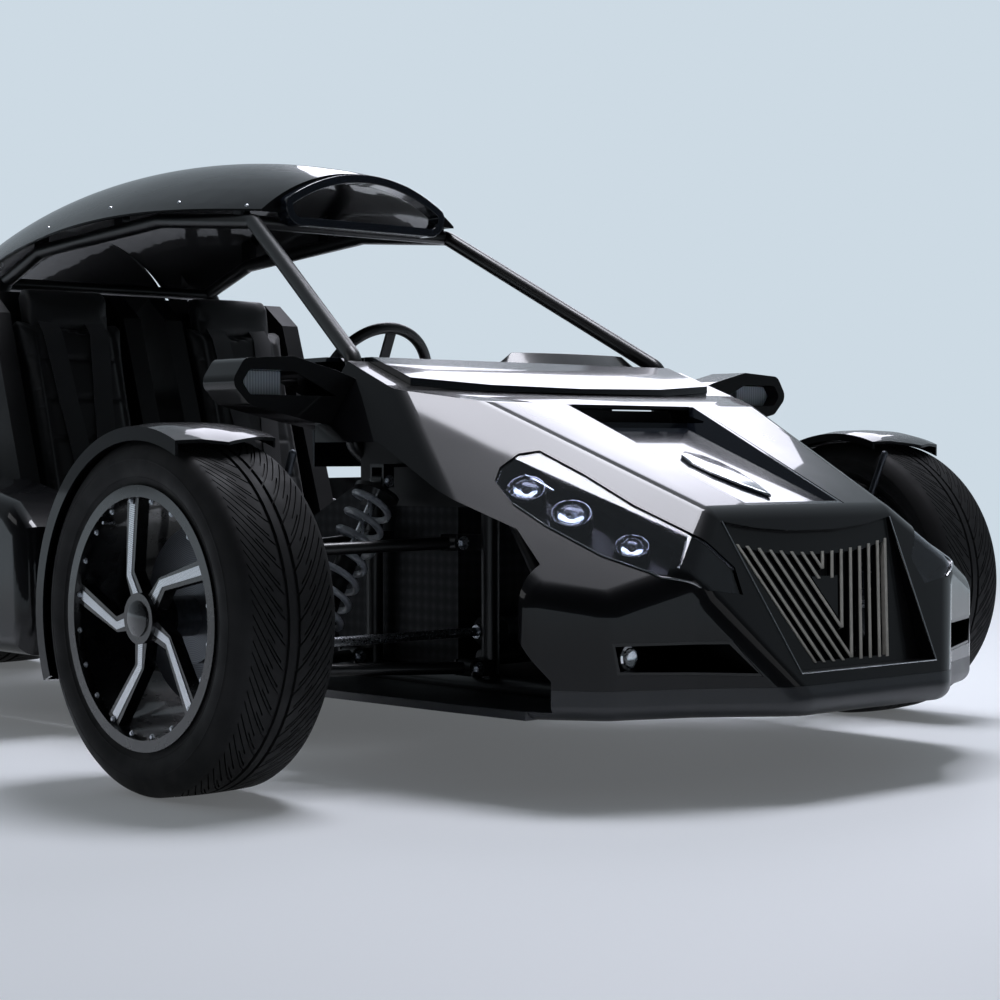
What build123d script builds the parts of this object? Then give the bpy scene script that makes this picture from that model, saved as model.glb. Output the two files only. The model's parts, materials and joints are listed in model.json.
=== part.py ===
from build123d import *
import math
import os

os.makedirs("parts", exist_ok=True)

# A three wheeled two seat car: two steered front wheels, one driven rear wheel, tube frame, plastic body.
# Sizes are in mm. X is across the car with +X on its left, Y runs rearwards from the front axle, and Z is
# up from the floor. Every piece is made in that frame and moved at the end, so that the origin lies on
# the floor under the middle of the car.

# Overall and running gear
NOSE_Y = -743.8
NOSE_FOOT_Y = -762.0
TAIL_Y = 2743.0
WHEELBASE = 2286.0
FRONT_TRACK = 1776.0
RAIL_BOTTOM_Z = 114.0
SEAT_GAP = 0.3
RUN_GAP = 5.0

# Front wheels
FRONT_TYRE_RADIUS = 295.5
FRONT_TYRE_WIDTH = 205.0
FRONT_SEAT_RADIUS = 203.0
FRONT_FLANGE_RADIUS = 218.0
# Rear wheel
REAR_TYRE_RADIUS = 331.9
REAR_TYRE_WIDTH = 295.0
REAR_SEAT_RADIUS = 228.6
REAR_FLANGE_RADIUS = 243.0
# Both
TYRE_WALL = 14.0
RIM_WALL = 9.0
FLANGE_THICKNESS = 7.0
BEAD_INSET = 14.0
SPOKES = 5
SPOKE_THICKNESS = 22.0
SPOKE_FACE_INSET = 10.0
HUB_RADIUS = 42.0
SPINDLE_RADIUS = 22.0

# Front suspension and steering
KINGPIN_X = FRONT_TRACK / 2 - 98
BALL_LOW_Z = 196.0
BALL_HIGH_Z = 395.0
ARM_TUBE_RADIUS = 11.0
ARM_INNER_X = 412.0
LOW_ARM_INNER = (ARM_INNER_X, 165.0, 190.0)
HIGH_ARM_INNER = (ARM_INNER_X, 125.0, 408.0)
HIGH_BRACE_X = KINGPIN_X - 140
UPRIGHT_RADIUS = 17.0
PIN_RADIUS = 8.0
DISC_RADIUS = 150.0
DISC_THICKNESS = 22.0
DISC_X = FRONT_TRACK / 2 - 30
PIVOT_HALF = 20.0
PIVOT_RADIUS = 15.0
STEER_ARM = 125.0
STEER_Z = 262.0
RACK_RADIUS = 24.0
RACK_HALF = 300.0
RACK_BOSS = 46.0
TIE_RADIUS = 10.0
COIL_FOOT = (KINGPIN_X - 172, 28.0, 222.0)
COIL_HEAD = (450.0, 28.0, 516.0)
COIL_EYE_HALF = 14.0
LUG_THICKNESS = 5.0
SPRING_WIRE = 5.0
SPRING_TURNS = 7

# Front fenders, turning with the wheels
FENDER_GAP = 13.0
FENDER_SHEET = 5.0
FENDER_FRONT_DEG = 118.0
FENDER_REAR_DEG = -23.0
FENDER_HALF = 104.0
FENDER_CROWN = 8.0

# Frame tubes
RAIL_X = 370.0
RAIL_RADIUS = 22.0
CAGE_RADIUS = 16.0
FRONT_HOOP_Y = (-175.0, 150.0)
HOOP_TOP_Z = 560.0
OUTER_RAIL_X = 560.0

# Nose body
NOSE_REAR_Y = 135.0
NOSE_BOTTOM_Z = 136.0
CHIN_TOP_Z = 186.0
CHIN_REAR_Y = -470.0
CHIN_RADIUS = 26.0
CHIN_WIDTH = 30.0
NOSE_WALL = 6.0
CREASE_RADIUS = 60.0
UNDERTRAY_THICKNESS = 14.0
FIN_X = 169.0
CHANNEL_HALF = 176.0
CHANNEL_FRONT_HALF = 130.0
CHANNEL_REAR_Y = -157.0
CHANNEL_FRONT_Y = -560.0
CHANNEL_DEPTH = 42.0
SLOT_HEIGHT = 26.0
MOUTH_WALL = 5.0
MOUTH_REAR_Y = -560.0

# Roof
ROOF_SHEET = 8.0
SCOOP_Y = 655.0
SCOOP_HALF = 197.0
SCOOP_BOTTOM_Z = 1058.0
SCOOP_HEIGHT = 84.0
SCOOP_LIP = 18.0
SCOOP_WALL = 12.0

# Cabin
SEAT_X = 235.0
SEAT_WIDTH = 400.0
FLOOR_THICKNESS = 5.0
FOOTWELL_FRONT_Y = -60.0
WHEEL_RIM_RADIUS = 150.0
COLUMN_DEG = 24.0
STEERING_WHEEL_CENTRE = (235.0, 905.0, 715.0)

# Drive and rear suspension
PIVOT_Y = WHEELBASE - 393
PIVOT_Z = 330.0
SWING_X = 196.0
OUTPUT_Y = PIVOT_Y - 98
SPROCKET_X = 160.0
REAR_SPROCKET_RADIUS = 104.0
FRONT_SPROCKET_RADIUS = 40.0
CHAIN_WIDTH = 14.0
CHAIN_HEIGHT = 14.0
CHAIN_GAP = 0.5

WHEEL_X = FRONT_TRACK / 2
ORIGIN_Y = (NOSE_Y + TAIL_Y) / 2
SIDES = (("left", 1), ("right", -1))


def rod(start, end, radius):
    """A round bar between two points."""
    start, end = Vector(*start), Vector(*end)
    run = end - start
    return Solid.make_cylinder(radius, run.length, Plane(origin=start, z_dir=run))


def pipe(points, radius, bend):
    """A tube of one radius along straight runs joined by bends."""
    path = FilletPolyline(*points, radius=bend) if len(points) > 2 else Line(*points)
    start = Plane(origin=path @ 0, z_dir=path % 0)
    return sweep(start * Circle(radius), path=path)


def side_view(points, x_from, x_to):
    """A prism from an outline in (y, z)."""
    return extrude(Plane.YZ.offset(x_from) * make_face(Polyline(*points, close=True)), x_to - x_from)


def plan_view(points, z_from, z_to):
    """A prism from an outline in (x, y)."""
    return extrude(Plane.XY.offset(z_from) * make_face(Polyline(*points, close=True)), z_to - z_from)


def front_view(points, y_from, y_to):
    """A prism from an outline in (x, z)."""
    return extrude(Plane.XZ.offset(-y_from) * make_face(Polyline(*points, close=True)), y_from - y_to)


def block(x_from, x_to, y_from, y_to, z_from, z_to):
    """A plain block between two corners."""
    size = (x_to - x_from, y_to - y_from, z_to - z_from)
    middle = ((x_from + x_to) / 2, (y_from + y_to) / 2, (z_from + z_to) / 2)
    return Pos(*middle) * Box(*size)


def flip(shape):
    """The same shape on the other side of the car."""
    return mirror(shape, about=Plane.YZ)


def both(shape):
    """A shape and its mirror image, fused where they touch."""
    return shape + flip(shape)


def on_side(shape, side):
    """A shape made for the left, put on the side that is asked for."""
    return shape if side > 0 else flip(shape)


def turned(profile, x, z):
    """A ring from a profile in (x, radius), turned about a wheel's axis at height z."""
    points = [(x + px, z + radius) for px, radius in profile]
    return revolve(Plane.XZ * make_face(Polyline(*points, close=True)), Axis((0, 0, z), (1, 0, 0)), 360)


def tyre_profile(width, radius, seat):
    """Outside and inside of a tyre carcass, as (x, radius) from its middle."""
    half = width / 2
    bead = half - BEAD_INSET
    outside = [
        (bead, seat),
        (bead, seat + 18),
        (half, seat + (radius - seat) * 0.52),
        (half - 8, radius - 16),
        (half - 26, radius),
    ]
    inside = [
        (half - TYRE_WALL - 12, radius - TYRE_WALL),
        (half - TYRE_WALL, seat + (radius - seat) * 0.52),
        (bead - TYRE_WALL, seat),
    ]
    right = outside + [(-x, r) for x, r in reversed(outside)]
    left = [(-x, r) for x, r in reversed(inside)] + inside
    return right + left


def rim_profile(width, seat, flange):
    """Section of a wheel rim with its two flanges, as (x, radius) from its middle."""
    bead = width / 2 - BEAD_INSET
    fit = seat - SEAT_GAP
    edge = bead + SEAT_GAP + FLANGE_THICKNESS
    half = [(bead + SEAT_GAP, fit), (bead + SEAT_GAP, flange), (edge, flange), (edge, fit - 4)]
    inner = [(bead - 12, fit - RIM_WALL)]
    return half + inner + [(-x, r) for x, r in reversed(half + inner)]


def spoke_outline(rim_radius):
    """One dog-leg spoke in the wheel's plane, as (across, outwards) from the hub."""
    bend = 70.0
    return [
        (-26, 14), (-50, bend - 4), (-46, rim_radius), (-12, rim_radius),
        (-26, bend + 6), (10, 26), (12, 8), (-10, 0),
    ]


def rim(width, seat, flange, x, z, phase, spokes):
    """A five spoke rim with its hub."""
    edge = width / 2 - BEAD_INSET + SEAT_GAP + FLANGE_THICKNESS
    face_x = x + edge - SPOKE_FACE_INSET
    shape = turned(rim_profile(width, seat, flange), x, z)
    plane = Plane(origin=(face_x, 0, z), x_dir=(0, -1, 0), z_dir=(-1, 0, 0))
    outline = make_face(Polyline(*spoke_outline(seat - RIM_WALL + 2), close=True))
    for index in range(spokes):
        spoke = Rot(0, 0, phase + 360.0 * index / spokes) * outline
        shape += extrude(plane * spoke, SPOKE_THICKNESS)
    hub_inner = face_x - SPOKE_THICKNESS - 18
    shape += rod((hub_inner, 0, z), (x + edge, 0, z), HUB_RADIUS)
    return shape


def upright(side):
    """Front upright with its hub carrier, steering arm, caliper and pins."""
    z = FRONT_TYRE_RADIUS
    shape = rod((KINGPIN_X, 0, BALL_LOW_Z + 12), (KINGPIN_X, 0, BALL_HIGH_Z - 12), UPRIGHT_RADIUS)
    shape += rod((KINGPIN_X, 0, BALL_LOW_Z - 8), (KINGPIN_X, 0, BALL_HIGH_Z + 8), PIN_RADIUS)
    shape += rod((KINGPIN_X - 26, 0, z), (DISC_X - DISC_THICKNESS / 2 - RUN_GAP - 1, 0, z), 46)
    arm = [(-20, 14), (20, 14), (14, -STEER_ARM - 16), (-14, -STEER_ARM - 16)]
    arm_points = [(KINGPIN_X + x, y) for x, y in arm]
    shape += plan_view(arm_points, STEER_Z, STEER_Z + 14)
    shape += caliper(z)
    shape += block(KINGPIN_X - 14, DISC_X - 24, -112, -20, z - 16, z + 16)
    for deg, foot_z in ((62, z + 36), (158, z + 10)):
        shape += fender_stay(deg, foot_z)
    shape -= rod((KINGPIN_X - 40, 0, z), (DISC_X, 0, z), SPINDLE_RADIUS + SEAT_GAP)
    return on_side(shape, side)


def fender_stay(deg, foot_z):
    """Flat bar from the upright to the inner edge of the fender, beside the tyre."""
    tip = FRONT_TYRE_RADIUS + FENDER_GAP - 4
    y = tip * math.cos(math.radians(deg)) * -1
    z = FRONT_TYRE_RADIUS + tip * math.sin(math.radians(deg))
    x = WHEEL_X - FENDER_HALF - 7 - SEAT_GAP
    knee = (x, y * 0.42, foot_z + (z - foot_z) * 0.15)
    stay = rod((x, 0, foot_z), knee, 8) + Pos(*knee) * Sphere(8) + rod(knee, (x, y, z), 7)
    return stay + Pos(x, y, z) * Sphere(7)


def caliper(z):
    """Brake caliper over the front edge of the disc."""
    half = DISC_THICKNESS / 2 + RUN_GAP
    body = block(DISC_X - half - 17, DISC_X + half + 13, -DISC_RADIUS - 20, -98, z - 62, z + 62)
    slot = rod((DISC_X - half, 0, z), (DISC_X + half, 0, z), DISC_RADIUS + RUN_GAP)
    outer = rod((DISC_X - 60, 0, z), (DISC_X + 60, 0, z), DISC_RADIUS + 22)
    return (body & outer) - slot


def brake_disc(side):
    """Front brake disc with its hat and the spindle that turns in the upright."""
    z = FRONT_TYRE_RADIUS
    half = DISC_THICKNESS / 2
    shape = rod((DISC_X - half, 0, z), (DISC_X + half, 0, z), DISC_RADIUS)
    shape -= rod((DISC_X - half, 0, z), (DISC_X + half, 0, z), 78)
    hub_inner = WHEEL_X + FRONT_TYRE_WIDTH / 2 - BEAD_INSET + SEAT_GAP + FLANGE_THICKNESS
    hub_inner -= SPOKE_FACE_INSET + SPOKE_THICKNESS + 18
    shape += rod((DISC_X - half, 0, z), (DISC_X + half + 12, 0, z), 80)
    shape += rod((DISC_X + half, 0, z), (hub_inner - SEAT_GAP, 0, z), HUB_RADIUS - 8)
    shape += rod((KINGPIN_X - 22, 0, z), (DISC_X, 0, z), SPINDLE_RADIUS)
    return on_side(shape, side)


def front_fender(side):
    """Arched mudguard sheet over the tyre, with a pointed front edge."""
    inner = FRONT_TYRE_RADIUS + FENDER_GAP
    top = inner + FENDER_SHEET
    profile = [
        (-FENDER_HALF, inner - 10), (-FENDER_HALF, top), (-60, top + FENDER_CROWN * 0.8),
        (0, top + FENDER_CROWN),
        (60, top + FENDER_CROWN * 0.8), (FENDER_HALF - 2, top), (FENDER_HALF - 2, inner - 18),
        (FENDER_HALF - 2 - FENDER_SHEET, inner - 18), (FENDER_HALF - 2 - FENDER_SHEET, inner),
        (60, inner + FENDER_CROWN * 0.8), (0, inner + FENDER_CROWN), (-60, inner + FENDER_CROWN * 0.8),
        (-FENDER_HALF + FENDER_SHEET, inner), (-FENDER_HALF + FENDER_SHEET, inner - 10),
    ]
    z = FRONT_TYRE_RADIUS
    points = [(WHEEL_X + px, radius) for px, radius in profile]
    face = make_face(Polyline(*points, close=True))
    start = Plane(origin=(0, 0, z), x_dir=(1, 0, 0), z_dir=(0, -1, 0))
    sheet = revolve(start * face, Axis((0, 0, z), (1, 0, 0)), 360)
    reach = 600.0
    a = math.radians(FENDER_FRONT_DEG)
    b = math.radians(FENDER_REAR_DEG)
    keep = [
        (0, z), (reach * math.cos(b), z + reach * math.sin(b)), (reach, z + reach), (-reach, z + reach),
        (reach * math.cos(a), z + reach * math.sin(a)),
    ]
    sheet &= side_view(keep, WHEEL_X - 200, WHEEL_X + 200)
    tip_y = inner * math.cos(a)
    notch = [(WHEEL_X - 200, tip_y - 60), (WHEEL_X - 200, tip_y + 70), (WHEEL_X + 15, tip_y + 2),
             (WHEEL_X + 200, tip_y + 52), (WHEEL_X + 200, tip_y - 60)]
    sheet -= plan_view(notch, z + 180, z + 420)
    return on_side(sheet, side)


def coil_lugs(centre, reach_z):
    """Two plates beside a damper eye, reaching up or down to what carries them."""
    x, y, z = centre
    lugs = None
    for way in (-1, 1):
        near = y + way * (COIL_EYE_HALF + SEAT_GAP)
        far = near + way * LUG_THICKNESS
        plate = block(x - 12, x + 12, min(near, far), max(near, far),
                      min(z - 12, reach_z), max(z + 12, reach_z))
        lugs = plate if lugs is None else lugs + plate
    reach = COIL_EYE_HALF + LUG_THICKNESS
    return lugs + rod((x, y - reach, z), (x, y + reach, z), PIN_RADIUS - 1)


def control_arms():
    """Upper and lower wishbones of both front wheels, with their outer eyes and inner pivots."""
    shape = None
    for (x, y, z), ball_z, eye, brace_x in (
        (LOW_ARM_INNER, BALL_LOW_Z, (BALL_LOW_Z - 10, BALL_LOW_Z + 12 - SEAT_GAP), COIL_FOOT[0]),
        (HIGH_ARM_INNER, BALL_HIGH_Z, (BALL_HIGH_Z - 12 + SEAT_GAP, BALL_HIGH_Z + 10), HIGH_BRACE_X),
    ):
        arm = rod((KINGPIN_X, 0, eye[0]), (KINGPIN_X, 0, eye[1]), 19)
        share = (KINGPIN_X - brace_x) / (KINGPIN_X - x)
        for way in (-1, 1):
            arm += rod((KINGPIN_X - 6, 0, ball_z), (x, way * y, z), ARM_TUBE_RADIUS)
            arm += rod((x, way * (y - PIVOT_HALF), z), (x, way * (y + PIVOT_HALF), z), PIVOT_RADIUS)
        brace_y = y * share
        brace_z = ball_z + (z - ball_z) * share
        arm += rod((brace_x, -brace_y, brace_z), (brace_x, brace_y, brace_z), ARM_TUBE_RADIUS - 2)
        if brace_x == COIL_FOOT[0]:
            arm += coil_lugs(COIL_FOOT, brace_z)
        arm -= rod((KINGPIN_X, 0, eye[0] - 5), (KINGPIN_X, 0, eye[1] + 5), PIN_RADIUS + SEAT_GAP)
        shape = arm if shape is None else shape + arm
    return Compound([shape, flip(shape)])


def spring(start, axis, length, radius):
    """A coil spring of six sided wire, made of half turns that are tilted to meet each other."""
    rise = length / (2 * SPRING_TURNS)
    base = Plane(origin=start, z_dir=axis)
    tilt = math.degrees(math.atan2(rise / 2, radius))
    section = Plane.XZ * Pos(math.hypot(radius, rise / 2), 0) * RegularPolygon(SPRING_WIRE, 6)
    coil = None
    for index in range(2 * SPRING_TURNS):
        place = base * Pos(0, 0, rise * (index + 0.5)) * Rot(0, 0, 180.0 * index) * Rot(0, tilt, 0)
        half_turn = place * revolve(section, Axis.Z, 180)
        coil = half_turn if coil is None else coil + half_turn
    return coil


def damper(foot, head, body, coil_radius):
    """Spring and damper between two points, with a bored eye at each end."""
    foot, head = Vector(*foot), Vector(*head)
    run = head - foot
    axis = run.normalized()
    across = Vector(0, 1, 0) if abs(axis.X) > 0.1 else Vector(1, 0, 0)
    unit = rod(foot + axis * 26, foot + axis * run.length * 0.6, body)
    unit += rod(foot, foot + axis * 30, 10)
    unit += rod(foot + axis * run.length * 0.5, head, 8)
    low, high = 44.0, run.length - 30.0
    unit += rod(foot + axis * (low - 8), foot + axis * low, coil_radius + 6)
    unit += rod(foot + axis * high, foot + axis * (high + 8), coil_radius + 6)
    pad = SPRING_WIRE - 1
    unit += spring(foot + axis * (low + pad), axis, high - low - 2 * pad, coil_radius)
    for point in (foot, head):
        unit += rod(point - across * COIL_EYE_HALF, point + across * COIL_EYE_HALF, 14)
        reach = COIL_EYE_HALF + 1
        unit -= rod(point - across * reach, point + across * reach, PIN_RADIUS - 1 + SEAT_GAP)
    return unit


def coilovers():
    """Both front spring and damper units."""
    unit = damper(COIL_FOOT, COIL_HEAD, 20, 36)
    return Compound([unit, flip(unit)])


RACK_INPUT = Vector(SEAT_X, -STEER_ARM, STEER_Z - 14)


def steering_rack():
    """Fixed housing of the steering rack, with the boss that takes the steering shaft."""
    _, y, z = RACK_INPUT
    shape = rod((-RACK_HALF, y, z), (RACK_HALF, y, z), RACK_RADIUS)
    shape += rod(RACK_INPUT, RACK_INPUT + shaft_axis() * RACK_BOSS, 24)
    shape -= rod((-RACK_HALF - 1, y, z), (RACK_HALF + 1, y, z), TIE_RADIUS + 2 + SEAT_GAP)
    return shape


def tie_rods():
    """Sliding rack bar with the two tie rods, ending in flat eyes under the steering arms."""
    _, y, z = RACK_INPUT
    shape = rod((-RACK_HALF - 60, y, z), (RACK_HALF + 60, y, z), TIE_RADIUS + 2)
    shape += rod((-KINGPIN_X, y, z), (KINGPIN_X, y, z), TIE_RADIUS - 2)
    for _, side in SIDES:
        shape += rod((side * KINGPIN_X, y, z - 8), (side * KINGPIN_X, y, STEER_Z - SEAT_GAP), 14)
    return shape


RAIL_Z = RAIL_BOTTOM_Z + 20 + RAIL_RADIUS
CRADLE_X = RAIL_X - 90
UPPER_X = RAIL_X - 60
SHOCK_FOOT = (0.0, PIVOT_Y + 26, 378.0)
SHOCK_HEAD = (0.0, PIVOT_Y - 17, 606.0)
SHOCK_BAR_Z = 640.0
HOOP_FOOT = (470.0, 1537.0)
REAR_BEND_Y = PIVOT_Y - 393
RAIL_END_Y = PIVOT_Y - 93
CROSS_RADIUS = RAIL_RADIUS - 4


def main_rail(grow):
    """Left lower rail, from the front cross tube back to the cradle."""
    points = [(RAIL_X, -460, RAIL_Z), (RAIL_X, REAR_BEND_Y, RAIL_Z), (CRADLE_X, RAIL_END_Y, RAIL_Z + 10)]
    return pipe(points, RAIL_RADIUS + grow, 120)


def main_rails():
    """Both lower rails."""
    rail = main_rail(0)
    return Compound([rail, flip(rail)])


def sill_rail(grow):
    """Left tube round the seats, outside the main rail."""
    points = [(RAIL_X, 300, RAIL_Z), (OUTER_RAIL_X, 480, RAIL_Z), (OUTER_RAIL_X, 1480, RAIL_Z),
              (RAIL_X - 22, 1610, RAIL_Z)]
    return pipe(points, RAIL_RADIUS - 3 + grow, 90)


def sill_rails():
    """Both tubes round the seats, each with the post of its side bar."""
    rail = sill_rail(0)
    rail += rod((OUTER_RAIL_X, 560, RAIL_Z), (OUTER_RAIL_X, 560, SIDE_BAR_Z), CAGE_RADIUS)
    rail -= main_rail(SEAT_GAP)
    return Compound([rail, flip(rail)])


CROSS_TUBE_Y = (-440.0, 300.0, 900.0, REAR_BEND_Y, RAIL_END_Y - 20)


def cross_tubes():
    """Tubes between the main rails."""
    rails = both(main_rail(SEAT_GAP))
    tubes = []
    for y in CROSS_TUBE_Y:
        x = RAIL_X - (90 * (y - REAR_BEND_Y) / 300 if y > REAR_BEND_Y else 0)
        tubes.append(rod((-x, y, RAIL_Z), (x, y, RAIL_Z), CROSS_RADIUS) - rails)
    return Compound(tubes)


def front_frame():
    """Box of tubes round the footwell, with the arm brackets, damper lugs and pillar posts."""
    half = rod((RAIL_X, -205, 500), (RAIL_X, 170, HOOP_TOP_Z - 14), RAIL_RADIUS - 6)
    for y in FRONT_HOOP_Y:
        half += rod((RAIL_X, y, RAIL_Z), (RAIL_X, y, HOOP_TOP_Z), RAIL_RADIUS - 6)
    half += rod((RAIL_X, -205, 500), (RAIL_X, -440, RAIL_Z), RAIL_RADIUS - 8)
    half += pipe([(RAIL_X, 150, HOOP_TOP_Z - 16), (PILLAR_FOOT[0], PILLAR_FOOT[1], HOOP_TOP_Z + 20),
                  (PILLAR_FOOT[0], PILLAR_FOOT[1], PILLAR_SPLIT_Z)], CAGE_RADIUS, 20)
    for x, y, z in (LOW_ARM_INNER, HIGH_ARM_INNER):
        for way in (-1, 1):
            half += pivot_bracket(x, way * y, z)
    half += coil_lugs(COIL_HEAD, HOOP_TOP_Z - 18)
    lug_reach = COIL_EYE_HALF + SEAT_GAP + LUG_THICKNESS
    half += block(RAIL_X, COIL_HEAD[0] + 12, COIL_HEAD[1] - lug_reach, COIL_HEAD[1] + lug_reach,
                  HOOP_TOP_Z - 20, HOOP_TOP_Z - 14)
    half -= main_rail(SEAT_GAP)
    shape = both(half)
    for y in FRONT_HOOP_Y:
        shape += rod((-RAIL_X, y, HOOP_TOP_Z - 20), (RAIL_X, y, HOOP_TOP_Z - 20), RAIL_RADIUS - 7)
    return shape + rack_bar()


def engine_cradle():
    """Tubes round the engine, with the swingarm's pivot tube and the damper's top lugs."""
    corner = (UPPER_X, PIVOT_Y - 253, UPPER_Z)
    half = rod((CRADLE_X, RAIL_END_Y, RAIL_Z + 10), (CRADLE_X, PIVOT_Y, PIVOT_Z), RAIL_RADIUS - 4)
    half += rod((CRADLE_X, PIVOT_Y, PIVOT_Z), corner, RAIL_RADIUS - 6)
    half += rod(corner, (UPPER_X, SHOCK_HEAD[1], SHOCK_BAR_Z), RAIL_RADIUS - 7)
    half += rod(corner, (RAIL_X, REAR_BEND_Y, RAIL_Z), RAIL_RADIUS - 7)
    half -= main_rail(SEAT_GAP)
    shape = both(half)
    for y in CROSS_TUBE_Y[-2:]:
        shape -= rod((-RAIL_X, y, RAIL_Z), (RAIL_X, y, RAIL_Z), CROSS_RADIUS + SEAT_GAP)
    shape += rod((-CRADLE_X, PIVOT_Y, PIVOT_Z), (CRADLE_X, PIVOT_Y, PIVOT_Z), CAGE_RADIUS)
    shape += rod((-UPPER_X, SHOCK_HEAD[1], SHOCK_BAR_Z), (UPPER_X, SHOCK_HEAD[1], SHOCK_BAR_Z), 15)
    for way in (-1, 1):
        near = way * (COIL_EYE_HALF + SEAT_GAP)
        far = near + way * LUG_THICKNESS
        shape += block(min(near, far), max(near, far), SHOCK_HEAD[1] - 12, SHOCK_HEAD[1] + 12,
                       SHOCK_HEAD[2] - 12, SHOCK_BAR_Z)
    reach = COIL_EYE_HALF + LUG_THICKNESS
    _, y, z = SHOCK_HEAD
    return shape + rod((-reach, y, z), (reach, y, z), PIN_RADIUS - 1)


def pivot_bracket(x, y, z):
    """Two plates beside an arm's inner pivot, with the bolt through it."""
    plates = None
    for way in (-1, 1):
        near = y + way * (PIVOT_HALF + SEAT_GAP)
        far = near + way * LUG_THICKNESS
        plate = block(RAIL_X, x + 12, min(near, far), max(near, far), z - 14, z + 14)
        plates = plate if plates is None else plates + plate
    hoop_y = min(FRONT_HOOP_Y, key=lambda hoop: abs(hoop - y))
    inner = RAIL_X + RAIL_RADIUS - 8
    low, high = sorted((hoop_y, y))
    reach = PIVOT_HALF + SEAT_GAP + LUG_THICKNESS
    plates += block(RAIL_X - 6, inner - 6, min(low, y - reach), max(high, y + reach), z - 14, z + 14)
    return plates


def rack_bar():
    """Cross tube under the steering rack with its two saddles."""
    _, y, z = RACK_INPUT
    bar_y = FRONT_HOOP_Y[0] + 25
    bar_z = z - 43
    bar = rod((-RAIL_X, bar_y, bar_z), (RAIL_X, bar_y, bar_z), 14)
    for x in (-200, 200):
        bar += block(x - 12, x + 12, y - 38, y + 20, bar_z, z - 6)
    return bar - rod((-RACK_HALF, y, z), (RACK_HALF, y, z), RACK_RADIUS + SEAT_GAP)


# Windscreen pillar and roof rail on the left, from the frame to the rear of the roof
PILLAR_FOOT = (409.0, 160.0, 740.0)
PILLAR_SPLIT_Z = 690.0
PILLAR_HEAD = (265.0, 680.0, 1046.0)
ROOF_RAIL = [PILLAR_HEAD, (280.0, 1000.0, 1072.0), (295.0, 1480.0, 1038.0), (290.0, 1800.0, 925.0)]
UPPER_Z = 610.0
SIDE_BAR_Z = 330.0
# Left ends of the bars across the cage
CAGE_CROSS_BARS = [(264, 684, 1046), (294, 1655, 973), (446, 1628, 690), (290, 1795, 915)]


def roll_cage():
    """Windscreen pillars, roof rails, main hoop and rear stays."""
    foot = (PILLAR_FOOT[0], PILLAR_FOOT[1], PILLAR_SPLIT_Z + SEAT_GAP)
    pillar = pipe([foot, PILLAR_FOOT, *ROOF_RAIL], CAGE_RADIUS, 40)
    hoop = pipe([(*HOOP_FOOT, RAIL_Z + RAIL_RADIUS - 3 + 2.7), (452, 1630, 700), (293, 1655, 975)],
                CAGE_RADIUS + 3, 90)
    stay_y = 1780.0
    bar_y = PIVOT_Y - 253
    stay_z = UPPER_Z + (SHOCK_BAR_Z - UPPER_Z) * (stay_y - bar_y) / (SHOCK_HEAD[1] - bar_y) + RAIL_RADIUS - 7
    stay = rod((291, 1792, 928), (UPPER_X, stay_y, stay_z + 2.8), CAGE_RADIUS - 2)
    bar_start = (OUTER_RAIL_X, 560, SIDE_BAR_Z + CAGE_RADIUS + SEAT_GAP)
    side_bar = pipe([bar_start, (540, 1000, 352), (463, 1592, 480)], CAGE_RADIUS, 90)
    shape = both(pillar + hoop + stay + side_bar)
    for x, y, z in CAGE_CROSS_BARS:
        shape += rod((-x, y, z), (x, y, z), CAGE_RADIUS - 2)
    return shape


# Plan of the nose where its faces would meet the undertray if the chin weren't rolled, as (x, y)
NOSE_PLAN = [(FIN_X, NOSE_FOOT_Y), (337, -640), (480, -580), (561, -470), (560, -200), (520, NOSE_REAR_Y)]
# Side view of its centre line, as (y, z), from the foot of the prow back to the cowl
PROW_TOP = (-576.0, 470.0)
HOOD_MIDDLE = (-157.0, 655.0)
COWL_FRONT = (-10.0, 680.0)
COWL_REAR = (NOSE_REAR_Y, 735.0)
# A point on the slanted headlamp face and the way it faces, on the left side
LAMP_POINT = Vector(400, -470, 440)
LAMP_NORMAL = Vector(0.44, -0.46, 0.77)
# A point on the side face under the shoulder and the way that faces
FLANK_POINT = Vector(520, -100, 560)
FLANK_NORMAL = Vector(0.80, -0.16, 0.56)


def half_space(point, normal, inset):
    """Everything outside a slanted face, as a large block."""
    normal = normal.normalized()
    plane = Plane(origin=point - normal * inset, z_dir=normal)
    return plane * Pos(0, 0, 500) * Box(2600, 2600, 1000)


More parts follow.
